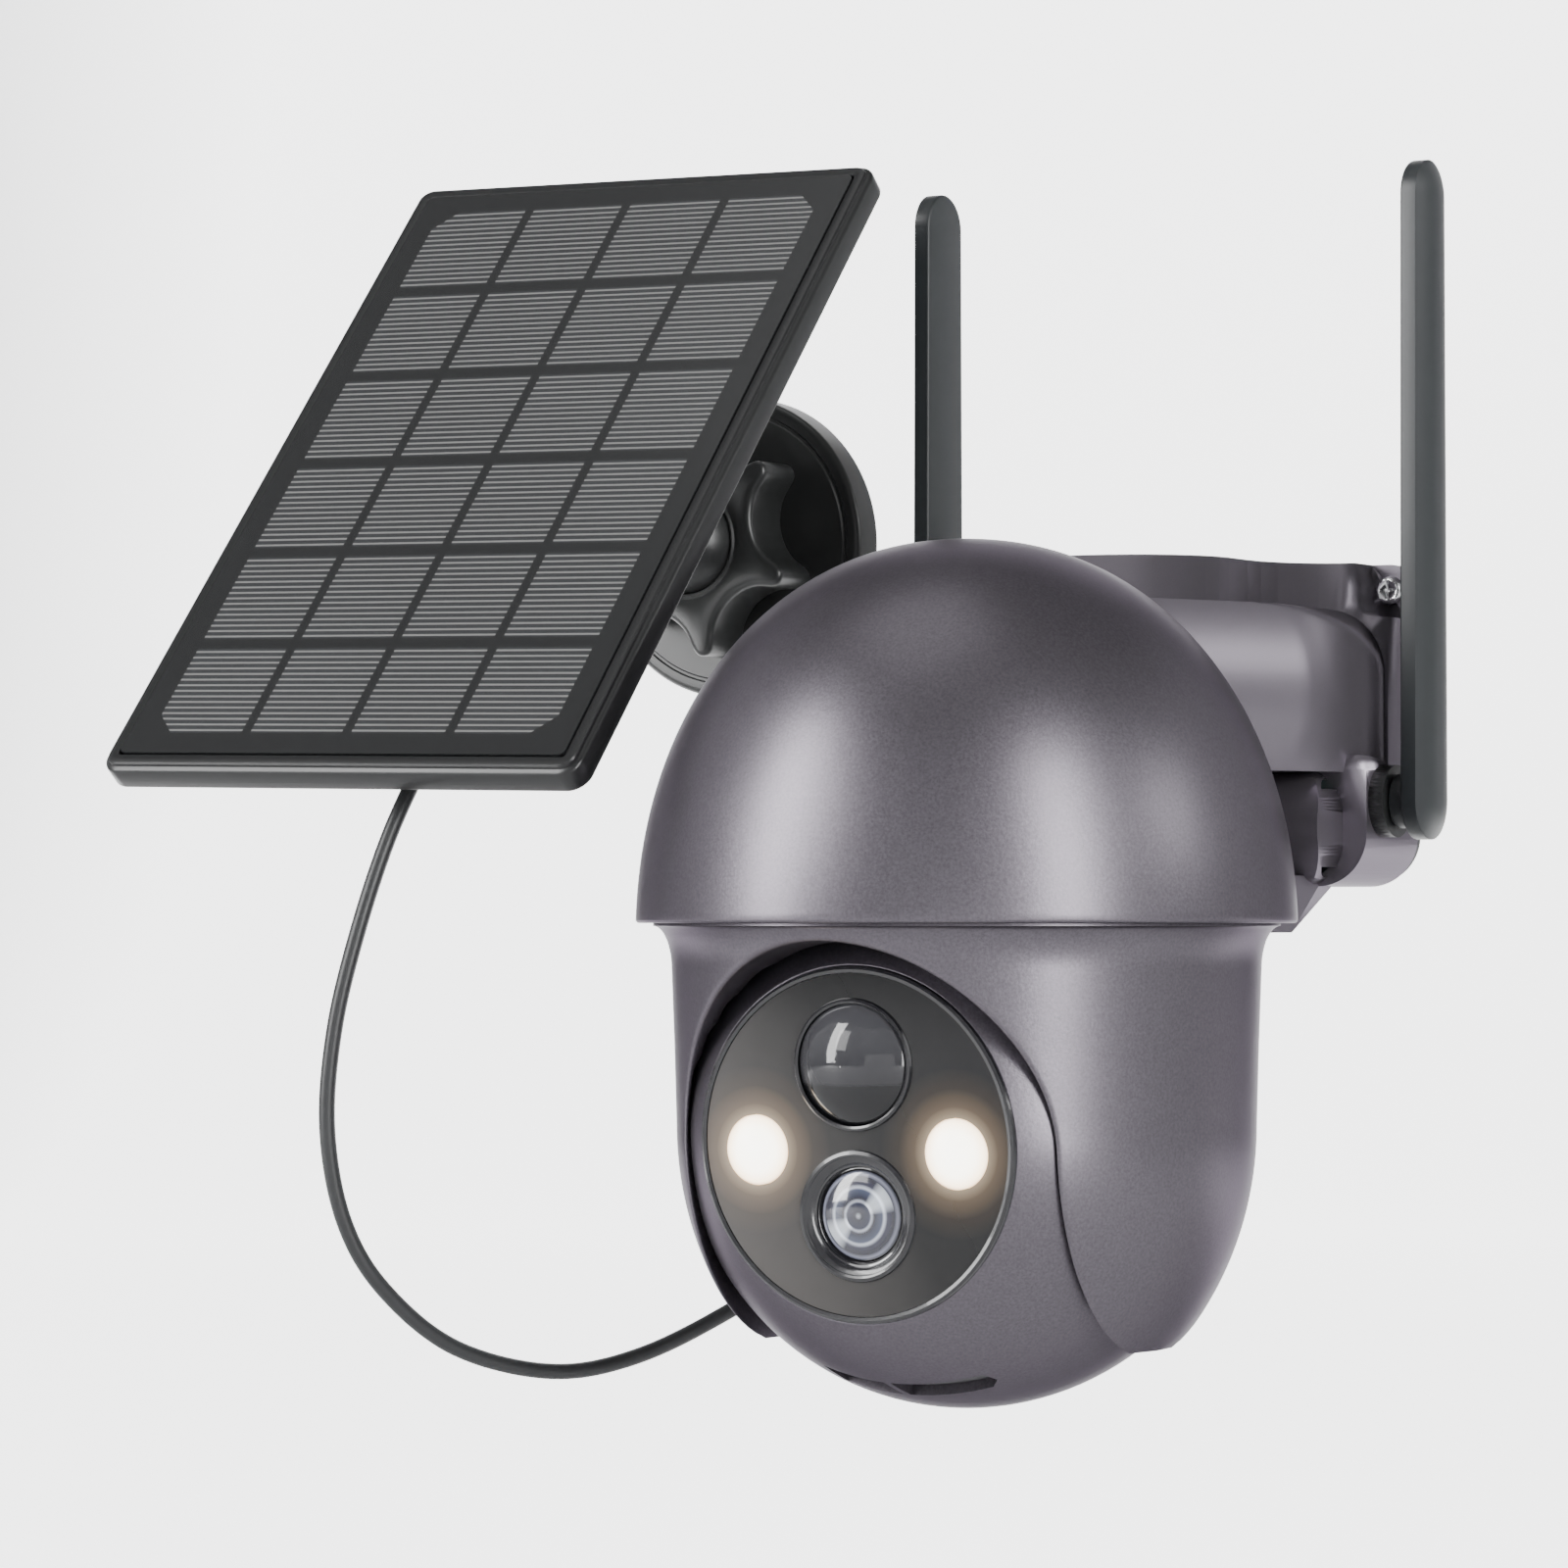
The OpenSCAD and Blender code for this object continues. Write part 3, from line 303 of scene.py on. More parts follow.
# Bright centre and bright rings in this ramp are painted highlights.
rings = lens_rings.ramp(ring_r / LENS_R, (0.0, (0.30, 0.32, 0.36)), (0.09, (0.02, 0.02, 0.03)),
                        (0.28, (0.015, 0.018, 0.04)),
                        (0.33, (0.34, 0.36, 0.42)), (0.39, (0.02, 0.02, 0.03)), (0.58, (0.05, 0.06, 0.10)),
                        (0.63, (0.42, 0.45, 0.52)), (0.70, (0.03, 0.03, 0.05)), (0.86, (0.02, 0.02, 0.03)),
                        (0.93, (0.22, 0.23, 0.30)), (1.0, (0.01, 0.01, 0.012)))
# Pale sectors: painted reflections.
pale = lens_rings.mix((ring_r / LENS_R > 0.30) * (ring_r / LENS_R < 0.86) * reflection_sector, (0, 0, 0), (0.40, 0.43, 0.46))
lens_rings.put("Base Color", lens_rings.node("ShaderNodeMix", {0: 1.0, 6: rings, 7: pale}, out=2,
                                             data_type="RGBA", blend_type="ADD"))

# Solar cells: four columns by six rows, silver fingers across each cell, cut corners on the outer cells.
CELLS_X, CELLS_Y, HALF_X, HALF_Y = 4, 6, 46.2, 72.6
GAP_X, GAP_Y, FINGERS, CORNER = 2.1, 2.6, 15, 4.5
cells = Finish("solar cells", (0.02, 0.022, 0.026), 0.22, Coat_Weight=0.6, Coat_Roughness=0.08)
cx, cy, _ = cells.split(cells.place(PANEL))
pitch_x, pitch_y = 2 * HALF_X / CELLS_X, 2 * HALF_Y / CELLS_Y
in_x = ((cx + HALF_X) % pitch_x)
in_y = ((cy + HALF_Y) % pitch_y)
inside = (abs(cx) < HALF_X - GAP_X / 2) * (abs(cy) < HALF_Y - GAP_Y / 2) \
    * (abs(cx) + abs(cy) < HALF_X + HALF_Y - CORNER - (GAP_X + GAP_Y) / 2)
cell = inside * (in_x > GAP_X / 2) * (in_x < pitch_x - GAP_X / 2) * (in_y > GAP_Y / 2) * (in_y < pitch_y - GAP_Y / 2)
step = (pitch_y - GAP_Y) / FINGERS
finger = (((in_y - GAP_Y / 2) % step) / step > 0.30) * (((in_y - GAP_Y / 2) % step) / step < 0.62)
cell_cloud = cells.noise(cells.place(), 0.02, 2)
silicon = cells.mix(cell_cloud, (0.024, 0.025, 0.027), (0.034, 0.036, 0.038))
lit = cells.mix(cell, (0.012, 0.0125, 0.013), silicon)
cells.put("Base Color", cells.mix(cell * finger * 0.85, lit, (0.16, 0.16, 0.155)))
cells.put("Roughness", cells.between(0.24, 0.40, cell * finger))
cells.bump(cell * finger + cell * 0.5, 0.008, 0.4)


# ---- shapes ----
def circle(r, n, x=0.0, y=0.0):
    """n points of a circle of radius r."""
    a = np.arange(n) * 2 * np.pi / n
    return np.stack([x + r * np.cos(a), y + r * np.sin(a)], 1)


def rounded_rectangle(w, h, r, n=12):
    """Outline of a w by h rectangle whose corners are quarter circles of radius r, n points each."""
    a = np.linspace(0, np.pi / 2, n)
    corner = np.stack([r * np.cos(a), r * np.sin(a)], 1)
    parts = []
    for k, (sx, sy) in enumerate(((1, 1), (-1, 1), (-1, -1), (1, -1))):
        c, s = math.cos(k * math.pi / 2), math.sin(k * math.pi / 2)
        parts.append(corner @ np.array([[c, s], [-s, c]]) + [sx * (w / 2 - r), sy * (h / 2 - r)])
    return np.concatenate(parts)


def inset(outline, d):
    """Outline moved inwards by d along the normal at each point, which is square to the chord of its neighbours."""
    t = np.roll(outline, -1, 0) - np.roll(outline, 1, 0)
    t /= np.linalg.norm(t, axis=1)[:, None]
    return outline + d * np.stack([-t[:, 1], t[:, 0]], 1)


def row(outline, z):
    return np.column_stack([outline, np.full(len(outline), float(z))])


def skin(rows, closed=False):
    """Quads between neighbouring rows of points, each row a closed loop. A closed skin joins its last row to its
    first, and an open one gets a flat cap on each end that isn't a single point."""
    grid = np.asarray(rows, float)
    count, n = grid.shape[:2]
    i, k = np.meshgrid(np.arange(count if closed else count - 1), np.arange(n), indexing="ij")
    j, m = (i + 1) % count, (k + 1) % n
    faces = np.stack([i * n + k, i * n + m, j * n + m, j * n + k], -1).reshape(-1, 4).tolist()
    if not closed:
        for start, order in ((0, -1), ((count - 1) * n, 1)):
            if np.ptp(grid.reshape(-1, 3)[start:start + n], axis=0).max() > 1e-6:
                faces.append(list(range(start, start + n))[::order])
    return grid.reshape(-1, 3), faces


def revolve(profile, n=128):
    """Profile of [radius, height] points carried round the z axis: x = r cos a, y = r sin a."""
    return [row(circle(max(r, 0), n), z) for r, z in profile]


def arc(cx, cy, r, start, end, n=6):
    """n + 1 points of a circle's arc between two angles in degrees."""
    a = np.radians(np.linspace(start, end, n + 1))
    return [(cx + r * math.cos(t), cy + r * math.sin(t)) for t in a]


def slab(outline, low, high, round_low, round_high, n=4):
    """Outline carried up z, with its lower and upper edges rounded by quarter circles."""
    rows = [row(inset(outline, round_low * (1 - math.sin(t))), low + round_low * (1 - math.cos(t)))
            for t in np.linspace(0, math.pi / 2, n + 1)]
    return rows + [row(inset(outline, round_high * (1 - math.cos(t))), high - round_high * (1 - math.sin(t)))
                   for t in np.linspace(0, math.pi / 2, n + 1)]


def finish_mesh(mesh, sharp):
    mesh.polygons.foreach_set("use_smooth", np.ones(len(mesh.polygons), bool))
    mesh.set_sharp_from_angle(angle=math.radians(sharp))
    mesh.update()


def piece(name, made, finish, body, frame_of=WORLD, sharp=32, replaces=(), bevel=0.0):
    """Makes a mesh from points in millimetres in a part's frame, closes its seams, and lets it ride on a body."""
    points, faces = made
    turned = (np.asarray(points) * MM) @ np.array(frame_of.to_3x3()).T + np.array(frame_of.translation)
    mesh = bpy.data.meshes.new(name)
    mesh.from_pydata(turned.tolist(), [], faces)
    work = bmesh.new()
    work.from_mesh(mesh)
    bmesh.ops.remove_doubles(work, verts=work.verts, dist=2e-6)
    bmesh.ops.recalc_face_normals(work, faces=work.faces)
    work.to_mesh(mesh)
    work.free()
    return settle(name, mesh, finish, body, sharp, replaces, bevel)


def settle(name, mesh, finish, body, sharp, replaces, bevel):
    finish_mesh(mesh, sharp)
    mesh.materials.clear()
    mesh.materials.append(finish.material)
    made = bpy.data.objects.new(name, mesh)
    bpy.context.scene.collection.objects.link(made)
    if bevel:
        edge = made.modifiers.new("edge", "BEVEL")
        edge.width, edge.segments, edge.limit_method = bevel * MM, 3, "ANGLE"
        edge.angle_limit = math.radians(32)
        edge.harden_normals = True
        edge.use_clamp_overlap = True
    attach(made, body)
    if replaces:
        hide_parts(*replaces)
    return made


def refined(node, finish, sharp=32, bevel=0.0):
    """A smooth-shaded copy of a CAD node: its loose triangles are merged, flat areas joined and edges softened."""
    source = frame["nodes"][node]
    mesh = source.data.copy()
    work = bmesh.new()
    work.from_mesh(mesh)
    bmesh.ops.remove_doubles(work, verts=work.verts, dist=2e-6)
    if bevel:
        bmesh.ops.dissolve_limit(work, angle_limit=math.radians(1.0), verts=work.verts, edges=work.edges)
    work.to_mesh(mesh)
    work.free()
    body = source["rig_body"]
    return settle(node + "_skin", mesh, finish, body, sharp, (node,), bevel)


def true_ball(made, centre, r):
    """Corner normals of a ball-shaped copy: from the ball's centre where the corner lies on it, else its face's own."""
    mesh = made.data
    corners = np.empty(len(mesh.loops), int)
    mesh.loops.foreach_get("vertex_index", corners)
    points = np.empty(len(mesh.vertices) * 3)
    mesh.vertices.foreach_get("co", points)
    out = points.reshape(-1, 3)[corners] - np.array(centre)
    far = np.linalg.norm(out, axis=1)
    out /= far[:, None]
    flat = np.empty(len(mesh.polygons) * 3)
    mesh.polygons.foreach_get("normal", flat)
    counts = np.empty(len(mesh.polygons), int)
    mesh.polygons.foreach_get("loop_total", counts)
    flat = np.repeat(flat.reshape(-1, 3), counts, axis=0)
    on_ball = (abs(far - r) < 0.12 * MM) & ((flat * out).sum(1) > 0.9)
    mesh.normals_split_custom_set(np.where(on_ball[:, None], out, flat).tolist())


def dress(finish, *nodes):
    for node in nodes:
        mesh = frame["nodes"][node].data
        mesh.materials.clear()
        mesh.materials.append(finish.material)


# ---- cord: out of the panel's gland, down in a free loop and up into the plug ----
gland_tip = PANEL @ Vector((10 * MM, -40 * MM, -9.6 * MM))
plug_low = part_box("cord_plug")[0].z
CORD_D = 3.0 * MM
ROUTE = [tuple(c / MM for c in gland_tip)] + [
    (-99.3, -121.5, 7.8), (-100, -131, -6), (-102.5, -140, -22), (-105.5, -146, -40),
    (-108.5, -149, -58), (-110, -149, -76), (-109, -145, -93), (-105.5, -137, -106), (-99.5, -122, -117.5),
    (-91.5, -101, -123), (-84, -82, -121), (-75, -62, -113), (-62, -49, -101.5), (-45, -42, -91),
    (-27, -39, -82.5), (-11, -38.2, -74), (-2.5, -38, -65), (0, -38, plug_low / MM)]


def smooth_route(points, steps=12):
    """Catmull-Rom curve: a cubic between neighbouring points whose slope at each point is half the chord across it."""
    p = np.array([points[0], *points, points[-1]], float) * MM
    t = np.linspace(0, 1, steps, endpoint=False)[:, None]
    spans = [0.5 * (2 * b + (c - a) * t + (2 * a - 5 * b + 4 * c - d) * t ** 2 + (3 * b - a - 3 * c + d) * t ** 3)
             for a, b, c, d in zip(p, p[1:], p[2:], p[3:])]
    return np.concatenate(spans + [p[-1:]])


def swept_tube(path, r, sides=20):
    """Circle of radius r carried along path, square to it; its reference direction is carried by projection."""
    t = np.gradient(path, axis=0)
    t /= np.linalg.norm(t, axis=1)[:, None]
    side = np.cross(t, [0.6, 0.8, 0.01])
    side /= np.linalg.norm(side, axis=1)[:, None]
    up = np.cross(side, t)
    a = np.arange(sides) * 2 * np.pi / sides
    rings = path[:, None] + r * (np.cos(a)[None, :, None] * side[:, None] + np.sin(a)[None, :, None] * up[:, None])
    return skin(rings / MM)


cord_path = smooth_route(ROUTE)
split_at = int(np.argmin(abs(cord_path[:, 2] - cord_path[:, 2].min())))


def cord_half(name, path, other, start, end, **words):
    """One half of the cord: a tube swept along path, unparented and baked where it lies, with the CAD cord hidden.
    other, the bodies on both sides, is not used; start and end, the points between which it bends, are not used; words
    are not used.
    """
    made = piece(name, swept_tube(path, CORD_D / 2), cord_skin, "root", sharp=60)
    made.parent = None
    del made["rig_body"]
    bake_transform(made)
    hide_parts("power_cord")


PAST_GLAND, BEFORE_PLUG, PAST_LOWEST = 12, (-0.01, -0.038, -0.07), (0.006, 0.012, 0.0)
cord_half("cord_from_panel", cord_path[:split_at + 1], ("liner", "panel"), tuple(cord_path[split_at]),
          tuple(cord_path[PAST_GLAND]))
cord_half("cord_to_port", cord_path[:split_at - 1:-1], ("root", "liner"), BEFORE_PLUG,
          tuple(cord_path[split_at] + PAST_LOWEST), with_pieces=[frame["nodes"]["cord_plug"]])

# ---- hood ----
HOOD_R, HOOD_H, HOOD_POWER, HOOD_SINK, HOOD_WALL = 60.0, 72.8, 2.11, 3.1, 2.4


def dome(a, b, n=72):
    """Superellipse |r / a| ^ p + |z / b| ^ p = 1 from just above its widest level to the crown."""
    t = np.radians(np.linspace(math.degrees(math.asin((HOOD_SINK / b) ** (HOOD_POWER / 2))), 90, n))
    return list(zip(a * np.maximum(np.cos(t), 0) ** (2 / HOOD_POWER), b * np.sin(t) ** (2 / HOOD_POWER) - HOOD_SINK))


outer = dome(HOOD_R, HOOD_H)
rim_r = outer[0][0]
hood_rows = [(0, HOOD_H - HOOD_WALL - HOOD_SINK)] + dome(HOOD_R - HOOD_WALL, HOOD_H - HOOD_WALL)[::-1][1:] \
    + arc(rim_r - 0.7, 0.7, 0.7, -90, -10, 5) + [p for p in outer if p[1] > 0.8]
piece("hood_shell", skin(revolve(hood_rows, 192)), paint, "root", RIM, replaces=("hood",), sharp=40)

# ---- carried nodes, merged and smooth-shaded ----
for node in ("head_front_shell", "head_rear_shell"):
    true_ball(refined(node, paint), pivot["tilt"], HEAD_R * MM)
refined("bracket_housing", smooth_paint_with_painted_light, sharp=28)
refined("battery_door", smooth_paint_with_painted_light)
for node in ("ball_stud", "ball_socket", "cord_gland", "cord_plug", "antenna_sockets", "junction_box"):
    refined(node, cord_skin if node.startswith("cord") else mount_plastic)
refined("face_plate", face_gloss)
refined("face_bezel", black_ring)
refined("pir_lens", pir_gloss, sharp=50)
refined("lens_barrel", black_ring)
refined("led_lenses", lamp_glow, sharp=50)
refined("housing_screws", steel)

# ---- yoke ----
TUNNEL_R, ARCH_Z, BALL_Z, BALL_ROOM, LIP_R = 37.2, -40.4, -36.3, 52.0, 1.2
CHEEK_R, CHEEK_DROP, CHEEK_LOW, NECK_R, NECK_Z, FLANGE_R = 52.5, 58.2, -77, 53.4, -8.5, 56.8
CHEEK = [(CHEEK_R * math.sqrt(1 - ((z - BALL_Z) / CHEEK_DROP) ** 2), z) for z in np.linspace(CHEEK_LOW, BALL_Z, 40)]
FLARE = [(FLANGE_R - 3.4 * math.cos(math.radians(a)), NECK_Z + 8 * math.sin(math.radians(a)))
         for a in range(10, 91, 8)]
YOKE_SIDE = CHEEK + [(52.9, -22), (NECK_R, NECK_Z)] + FLARE \
    + [(FLANGE_R, -0.2), (56.6, 2.4), (NECK_R, 5), (NECK_R, 16)]


def side_radius(z):
    """Radius of the yoke's outside at height z."""
    return np.interp(z, [p[1] for p in YOKE_SIDE], [p[0] for p in YOKE_SIDE])


def arch_path(grow, turns=48, drops=30):
    """Right half of the tunnel's outline grown by grow, from the cheek's tip up and round to the top of the arch:
    points (x, z) and their outward directions."""
    w = TUNNEL_R + grow
    low = BALL_Z - CHEEK_DROP * math.sqrt(1 - ((TUNNEL_R + LIP_R) / CHEEK_R) ** 2)
    z = np.linspace(low, ARCH_Z, drops, endpoint=False)
    b = np.linspace(0, math.pi / 2, turns)
    x = np.concatenate([np.full(drops, w), w * np.cos(b)])
    z = np.concatenate([z, ARCH_Z + w * np.sin(b)])
    return x, z


def front(x, z):
    """How far forward the outside lies over the point (x, z)."""
    return np.sqrt(np.maximum(side_radius(z) ** 2 - x ** 2, 0))


def cheek_rows():
    """Right half of the yoke, one closed loop per step of the arch: outside from front to back, back lip, tunnel
    wall hollowed to the ball's room, front lip. Each lip is the curve (1-t)^2 A + 2 t (1-t) C + t^2 B."""
    ax, az = arch_path(LIP_R)
    cx, cz = arch_path(0)
    dx, dz = ax - cx, az - cz
    size = np.hypot(dx, dz)
    dx, dz = dx / size, dz / size
    ay, cy = front(ax, az), front(cx, cz)
    by = np.maximum(cy - LIP_R, 0)
    rows = []
    for i in range(len(ax)):
        half = math.acos(min(ax[i] / side_radius(az[i]), 1))
        a = np.linspace(-half, half, 49)
        outside = np.stack([side_radius(az[i]) * np.cos(a), side_radius(az[i]) * np.sin(a), np.full(49, az[i])], 1)
        t = np.linspace(0, 1, 9)[1:-1, None]
        corner_a, corner_c = np.array([ax[i], ay[i], az[i]]), np.array([cx[i], cy[i], cz[i]])
        corner_b = np.array([cx[i], by[i], cz[i]])
        lip = (1 - t) ** 2 * corner_a + 2 * t * (1 - t) * corner_c + t ** 2 * corner_b
        y = np.linspace(by[i], -by[i], 41)
        up = cz[i] - BALL_Z
        b = cx[i] * dx[i] + up * dz[i]
        under = b * b - (cx[i] ** 2 + up ** 2 + y * y - BALL_ROOM ** 2)
        out = np.where(under > 0, -b + np.sqrt(np.maximum(under, 0)), 0)
        out = np.clip(out, 0, 40)
        if dx[i] > 1e-6:
            out = np.minimum(out, max(TUNNEL_R / dx[i] - cx[i] / dx[i], 0))
        wall = np.stack([cx[i] + out * dx[i], y, cz[i] + out * dz[i]], 1)
        flip = np.array([1, -1, 1])
        rows.append(np.concatenate([outside, lip, wall, (lip * flip)[::-1]]))
    return rows


def yoke_mesh():
    right, faces = skin(cheek_rows())
    n = len(cheek_rows()[0])
    faces = [f for f in faces if len(f) == 4 or 0 in f]
    left = right * [-1, 1, 1]
    points = np.concatenate([right, left])
    faces = faces + [[v + len(right) for v in f[::-1]] for f in faces]
    top_z = ARCH_Z + TUNNEL_R + LIP_R
    a = np.linspace(-math.pi / 2, math.pi / 2, 49)
    a = np.concatenate([a, a[1:-1] + math.pi])
    heights = [top_z] + [z for r, z in YOKE_SIDE if z > top_z]
    upper = [np.stack([side_radius(z) * np.cos(a), side_radius(z) * np.sin(a), np.full(len(a), z)], 1) for z in heights]
    upper.append(np.stack([30 * np.cos(a), 30 * np.sin(a), np.full(len(a), 16.0)], 1))
    upper.append(np.stack([30 * np.cos(a), 30 * np.sin(a), np.full(len(a), 15.8)], 1))
    more, more_faces = skin(upper)
    more_faces = [f for f in more_faces if len(f) == 4 or f[0] > len(more) // 2]
    points = np.concatenate([points, more])
    return points, faces + [[v + 2 * len(right) for v in f] for f in more_faces]


piece("yoke_body", yoke_mesh(), paint, "yoke", RIM, replaces=("yoke_shell",), sharp=38)

# ---- arm ----
ARM_LOW, ARM_HIGH, ARM_REAR, ARM_FRONT, ARM_CORNER = 28.7, 60.3, -17.2, -70.0, 12.6


def arm_rows():
    """Sections across the arm. Half width: the wedge's plan plus k (1 - u^2), where u runs from -1 to 1 up the side
    and k grows from nothing at the wall box, but never more than the front outline with its rounded top corners."""
    rows = []
    for y in np.linspace(ARM_REAR, ARM_FRONT, 40):
        w = np.interp(-y, [18, 74], [43, 16]) + 0.4
        k = 5.0 * min(max((-y - 18) / 22, 0), 1)
        z = np.concatenate([np.linspace(ARM_LOW, ARM_HIGH - ARM_CORNER, 22),
                            ARM_HIGH - ARM_CORNER + ARM_CORNER * np.sin(np.linspace(0, math.pi / 2, 14))[1:]])
        u = (z - 44.5) / 16.5
        corner = np.maximum(z - (ARM_HIGH - ARM_CORNER), 0) / ARM_CORNER
        limit = 43.4 - ARM_CORNER * (1 - np.sqrt(np.maximum(1 - corner ** 2, 0)))
        x = np.minimum(w + k * (1 - u ** 2), limit)
        half = np.stack([x, np.full(len(x), y), z], 1)
        rows.append(np.concatenate([half, (half * [-1, 1, 1])[::-1]]))
    return rows


piece("arm_cover", skin(arm_rows()), smooth_paint_with_painted_light, "root", Matrix.Translation((0, 0, pivot["pan"].z)),
      sharp=60)

# ---- antennas ----
BLADE_X, BLADE_T, LOW_R, TOP_R, LOW_Y, HIGH_Y = 50.8, 5.0, 7.5, 6.85, 0.1, 115.05


def blade_outline(n=24):
    """Two round ends joined by straight tapering sides, from the lower right round the top to the lower left."""
    lean = math.asin((LOW_R - TOP_R) / (HIGH_Y - LOW_Y))
    top = np.linspace(lean, math.pi - lean, n)
    low = np.linspace(math.pi - lean, 2 * math.pi + lean, n)
    return np.concatenate([np.stack([TOP_R * np.cos(top), HIGH_Y + TOP_R * np.sin(top)], 1),
                           np.stack([LOW_R * np.cos(low), LOW_Y + LOW_R * np.sin(low)], 1)])


def blade():
    """Flat inner face, straight rim, then an outer face whose height is a parabola of the inset."""
    outline, edge = blade_outline(), 3.2
    rows = [row(inset(outline, 0.5 * (1 - math.sin(t))), BLADE_X + 0.5 * (1 - math.cos(t)))
            for t in np.linspace(0, math.pi / 2, 4)]
    rows += [row(outline, BLADE_X + edge), row(inset(outline, 0.15), BLADE_X + edge + 0.1)]
    rows += [row(inset(outline, d), BLADE_X + edge + (BLADE_T - edge) * (1 - (1 - d / TOP_R) ** 2))
             for d in (0.4, 0.8, 1.4, 2.2, 3.2, 4.4, 5.5, 6.5)]
    return rows


def antenna(name, node, side, body):
    points, faces = skin(blade())
    neck, neck_faces = skin(revolve([(0, 44.4), (2.7, 44.4), (3.0, 44.7), (3.0, 47.3), (4.9, 47.3), (5.2, 47.6),
                                     (5.2, BLADE_X + 0.2), (0, BLADE_X + 0.2)], 48))
    points = np.concatenate([points, neck])
    faces = faces + [[v + len(points) - len(neck) for v in f] for f in neck_faces]
    points = np.stack([points[:, 2] * side, points[:, 0], points[:, 1]], 1)
    place = Matrix.Translation((0, pivot["right_antenna_hinge"].y, pivot["right_antenna_hinge"].z))
    piece(name, (points, faces), antenna_rubber, body, place, replaces=(node,), sharp=40)


antenna("antenna_right_blade", "antenna_right", 1, "right_antenna")
antenna("antenna_left_blade", "antenna_left", -1, "left_antenna")

# ---- solar mount ----
cover = [(9.3, 6.2), (9.3, 7.7)] + [(9.6, 8.0), (27.2, 8.0), (27.5, 7.7), (28.0, 7.7), (28.3, 8.0)] \
    + arc(29.6, 6.6, 1.4, 90, 0, 6) + [(31, 0.3), (30.7, 0), (29, 0), (29, 6.2)]
piece("solar_base_cap", skin(revolve(cover, 160), closed=True), mount_plastic, "root", SOLAR,
      replaces=("solar_base_cover",))

NUT_LOW, NUT_HIGH, NUT_N, NUT_TURN = 12.2, 24.8, 288, 10.0


def nut_radius(a):
    """Smallest of the disc and six valley circles, then the largest of that and six round finger ends."""
    valley = (a - math.radians(NUT_TURN) + math.pi / 6) % (math.pi / 3) - math.pi / 6
    finger = (a - math.radians(NUT_TURN)) % (math.pi / 3) - math.pi / 6
    under = np.maximum(11.7 ** 2 - (27.4 * np.sin(valley)) ** 2, 0)
    hollow = np.where(under > 0, 27.4 * np.cos(valley) - np.sqrt(under), 99.0)
    r = np.minimum(22.6, hollow)
    under = 2.7 ** 2 - (21 * np.sin(finger)) ** 2
    tip = np.where(under > 0, 21 * np.cos(finger) + np.sqrt(np.maximum(under, 0)), 0.0)
    return np.maximum(r, tip)


def nut_rows():
    a = np.arange(NUT_N) * 2 * np.pi / NUT_N
    r = nut_radius(a)
    for _ in range(3):
        r = (np.roll(r, 1) + 2 * r + np.roll(r, -1)) / 4
    star = np.stack([r * np.cos(a), r * np.sin(a)], 1)
    ring = lambda q, z: row(circle(q, NUT_N), z)
    body = slab(star, NUT_LOW, NUT_HIGH, 0.6, 1.3, 5)
    return [ring(14.2, 20), ring(14.2, NUT_LOW)] + body + [
        ring(12.2, NUT_HIGH), ring(11.9, NUT_HIGH - 0.25), ring(11.5, NUT_HIGH - 0.3), ring(11.1, NUT_HIGH),
        ring(10.7, NUT_HIGH - 0.1), ring(10.5, NUT_HIGH - 0.5), ring(10.78, 23.7), ring(12.5, 23.7), ring(12.5, 20)]


piece("clamp_nut_body", skin(nut_rows(), closed=True), mount_plastic, "nut", SOLAR,
      replaces=("clamp_nut",), sharp=42)

# ---- panel ----
PANEL_W, PANEL_L, LIP = 108.0, 160.0, 3.5
edge = rounded_rectangle(PANEL_W, PANEL_L, 4.0, 14)
section = [(0.5, -6.0), (0.15, -5.85), (0, -5.5), (0, -1.7), (0.12, -1.35), (0.45, -1.05), (0.9, -0.95), (1.0, -0.9),
           (1.1, -0.35), (1.35, -0.08), (1.8, 0.0), (2.9, 0.0), (3.3, -0.12), (LIP, -0.4), (LIP, -2.3),
           (LIP, -4.5), (LIP, -6.0)]
piece("panel_rim", skin([row(inset(edge, d), z) for d, z in section], closed=True), frame_plastic, "panel",
      PANEL, replaces=("panel_frame",), sharp=30)

# ---- camera face details ----
stack = [(0, 40.7)] + [(8.1 * math.sin(t), 39.1 + 1.6 * math.cos(t)) for t in np.linspace(0.1, math.pi / 2, 14)] \
    + [(8.25, 39.6), (8.6, 39.5), (8.7, 40.1), (9.4, 40.3), (9.5, 40.9), (10.0, 41.0), (10.2, 40.5), (10.2, 38.0),
       (0, 38.0)]
piece("lens_stack", skin(revolve(stack, 96)), lens_rings, "head", DIAL, sharp=25, replaces=("lens_glass",))
lip = [(10.3, 41.0), (10.5, 41.3), (10.9, 41.45), (11.5, 41.25), (11.7, 40.85), (10.3, 40.85)]
piece("lens_ring", skin(revolve(lip, 96), closed=True), black_ring, "head", DIAL)
seat = [(10.7, 40.85), (10.8, 41.5), (11.2, 41.7), (11.6, 41.45), (11.8, 40.85)]
piece("sensor_ring", skin(revolve(seat, 96), closed=True), black_ring, "head", PIR)

# ---- plain nodes ----
dress(cells, "solar_cells", "panel_glass")
dress(back_plastic, "panel_back", "wall_plate", "solar_base")
dress(inner_plastic, "hood_base", "turntable", "speaker", "speaker_grille")
dress(board, "charge_board", "modem_board", "image_board", "led_board", "head_board")
dress(acetal, "pan_gear", "tilt_gear", "pan_pinion", "tilt_pinion", "pan_bush", "tilt_bushes")
dress(steel, "hood_screws", "battery_springs", "hub_collar", "tilt_trunnions")
dress(motor_can, "pan_motor", "tilt_motor", "pir_sensor")
dress(shadow_black, "power_port", "ball_liner")
dress(sleeve, "battery_cell")

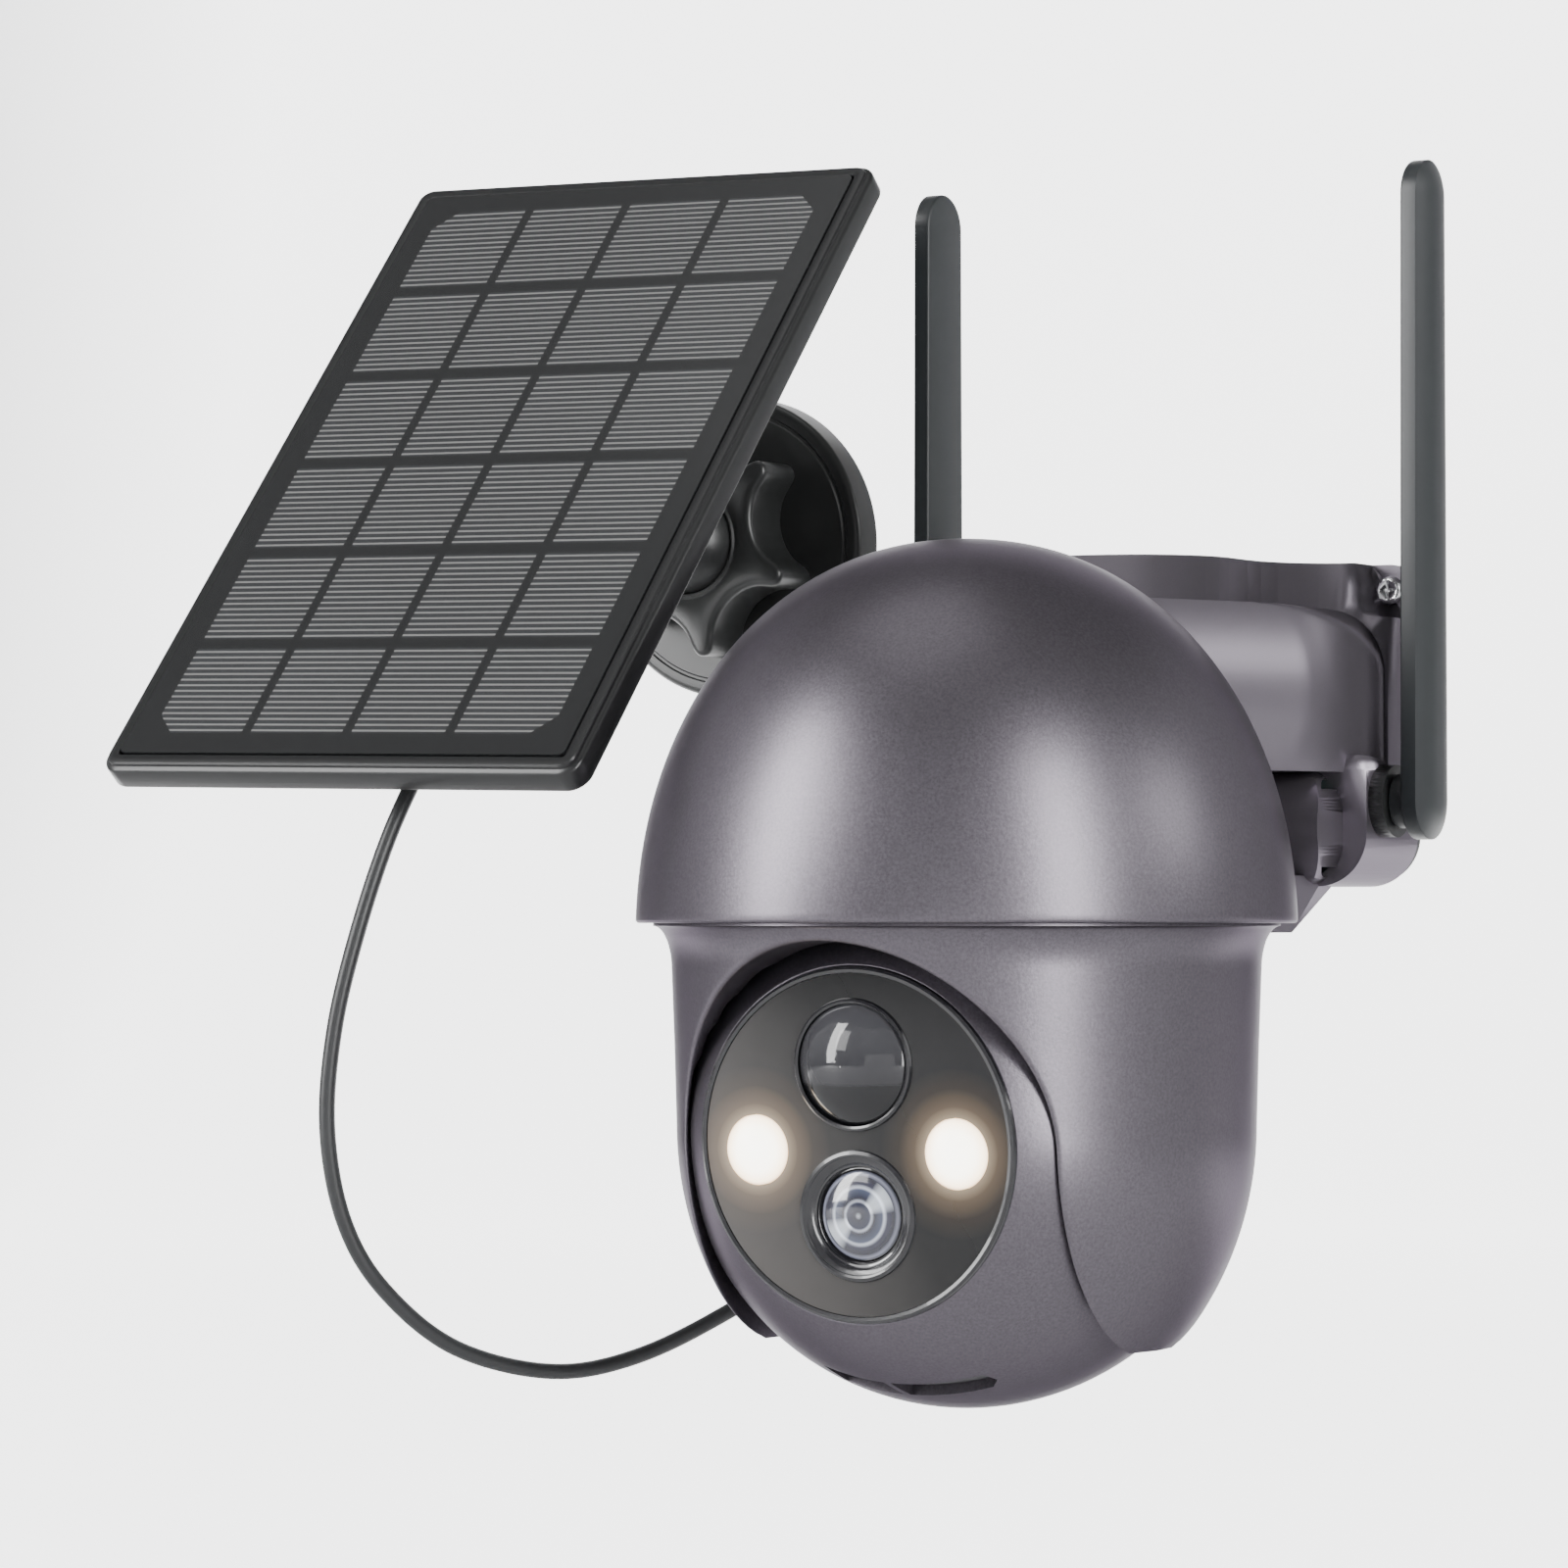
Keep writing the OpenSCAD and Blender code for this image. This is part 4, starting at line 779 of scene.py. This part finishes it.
# ---- floor and light ----
FLOOR_Z = -0.20
floor_finish = Finish("pale floor", (0.80, 0.80, 0.81), 0.7, Emission_Strength=3.2)
# Painted light: the floor's own emission makes a wide soft pool of light on the backdrop behind the part, along the
# line the camera looks.
flx, fly, flz = floor_finish.split(floor_finish.place())
along = fly * 0.900 - flx * 0.436
across = abs(flx * 0.900 + fly * 0.436)
POOL_START, POOL_SIDE, POOL_TOP = (60, 180), (1050, 400), (1300, 500)      # where each edge of it is, and how soft
pool = ((along - POOL_START[0]) / POOL_START[1]).most(0.0).least(1.0) \
    * ((POOL_SIDE[0] - across) / POOL_SIDE[1]).most(0.0).least(1.0) \
    * ((POOL_TOP[0] - flz) / POOL_TOP[1]).most(0.0).least(1.0)
floor_finish.put("Emission Color", floor_finish.mix(pool, (0, 0, 0), (1, 1, 1)))
floor_mesh = bpy.data.meshes.new("floor")
FLAT_R, CURVE_R, WALL_H = 1900, 900, 2600
bowl = revolve([(0, 0), (FLAT_R, 0)] + [(FLAT_R + CURVE_R * math.sin(t), CURVE_R - CURVE_R * math.cos(t))
                                        for t in np.linspace(0.1, math.pi / 2, 16)] + [(FLAT_R + CURVE_R, WALL_H)], 96)
points, faces = skin(bowl)
faces = [f for f in faces if len(f) == 4]
floor_mesh.from_pydata((points * MM + [0, 0, FLOOR_Z]).tolist(), [], faces)
finish_mesh(floor_mesh, 60)
floor_mesh.materials.append(floor_finish.material)
floor = bpy.data.objects.new("floor", floor_mesh)
bpy.context.scene.collection.objects.link(floor)

world = bpy.data.worlds.new("studio")
world.use_nodes = True
world.node_tree.nodes["Background"].inputs[0].default_value = (1, 1, 1, 1)
world.node_tree.nodes["Background"].inputs[1].default_value = 0.20
bpy.context.scene.world = world


def softbox(name, place, width, height, power, aim=(-0.02, -0.07, -0.01)):
    data = bpy.data.lights.new(name, "AREA")
    data.shape, data.size, data.size_y, data.energy = "RECTANGLE", width, height, power
    lamp = bpy.data.objects.new(name, data)
    lamp.location = place
    lamp.rotation_euler = (Vector(aim) - Vector(place)).to_track_quat("-Z", "Y").to_euler()
    bpy.context.scene.collection.objects.link(lamp)


softbox("key_left", (-0.82, -0.98, 0.40), 0.34, 1.1, 20)
softbox("key_right", (1.08, -0.66, 0.30), 0.30, 1.1, 19)
softbox("arm_side", (1.25, 0.28, 0.45), 0.5, 0.4, 3)
softbox("edge", (-0.56, -1.08, 0.42), 0.34, 0.5, 3)
softbox("front", (0.55, -1.25, -0.10), 0.9, 0.5, 1.2)
softbox("top", (-0.2, -0.25, 1.3), 0.9, 0.7, 2.0)
softbox("back", (-0.5, 1.1, 0.9), 0.9, 0.5, 2)
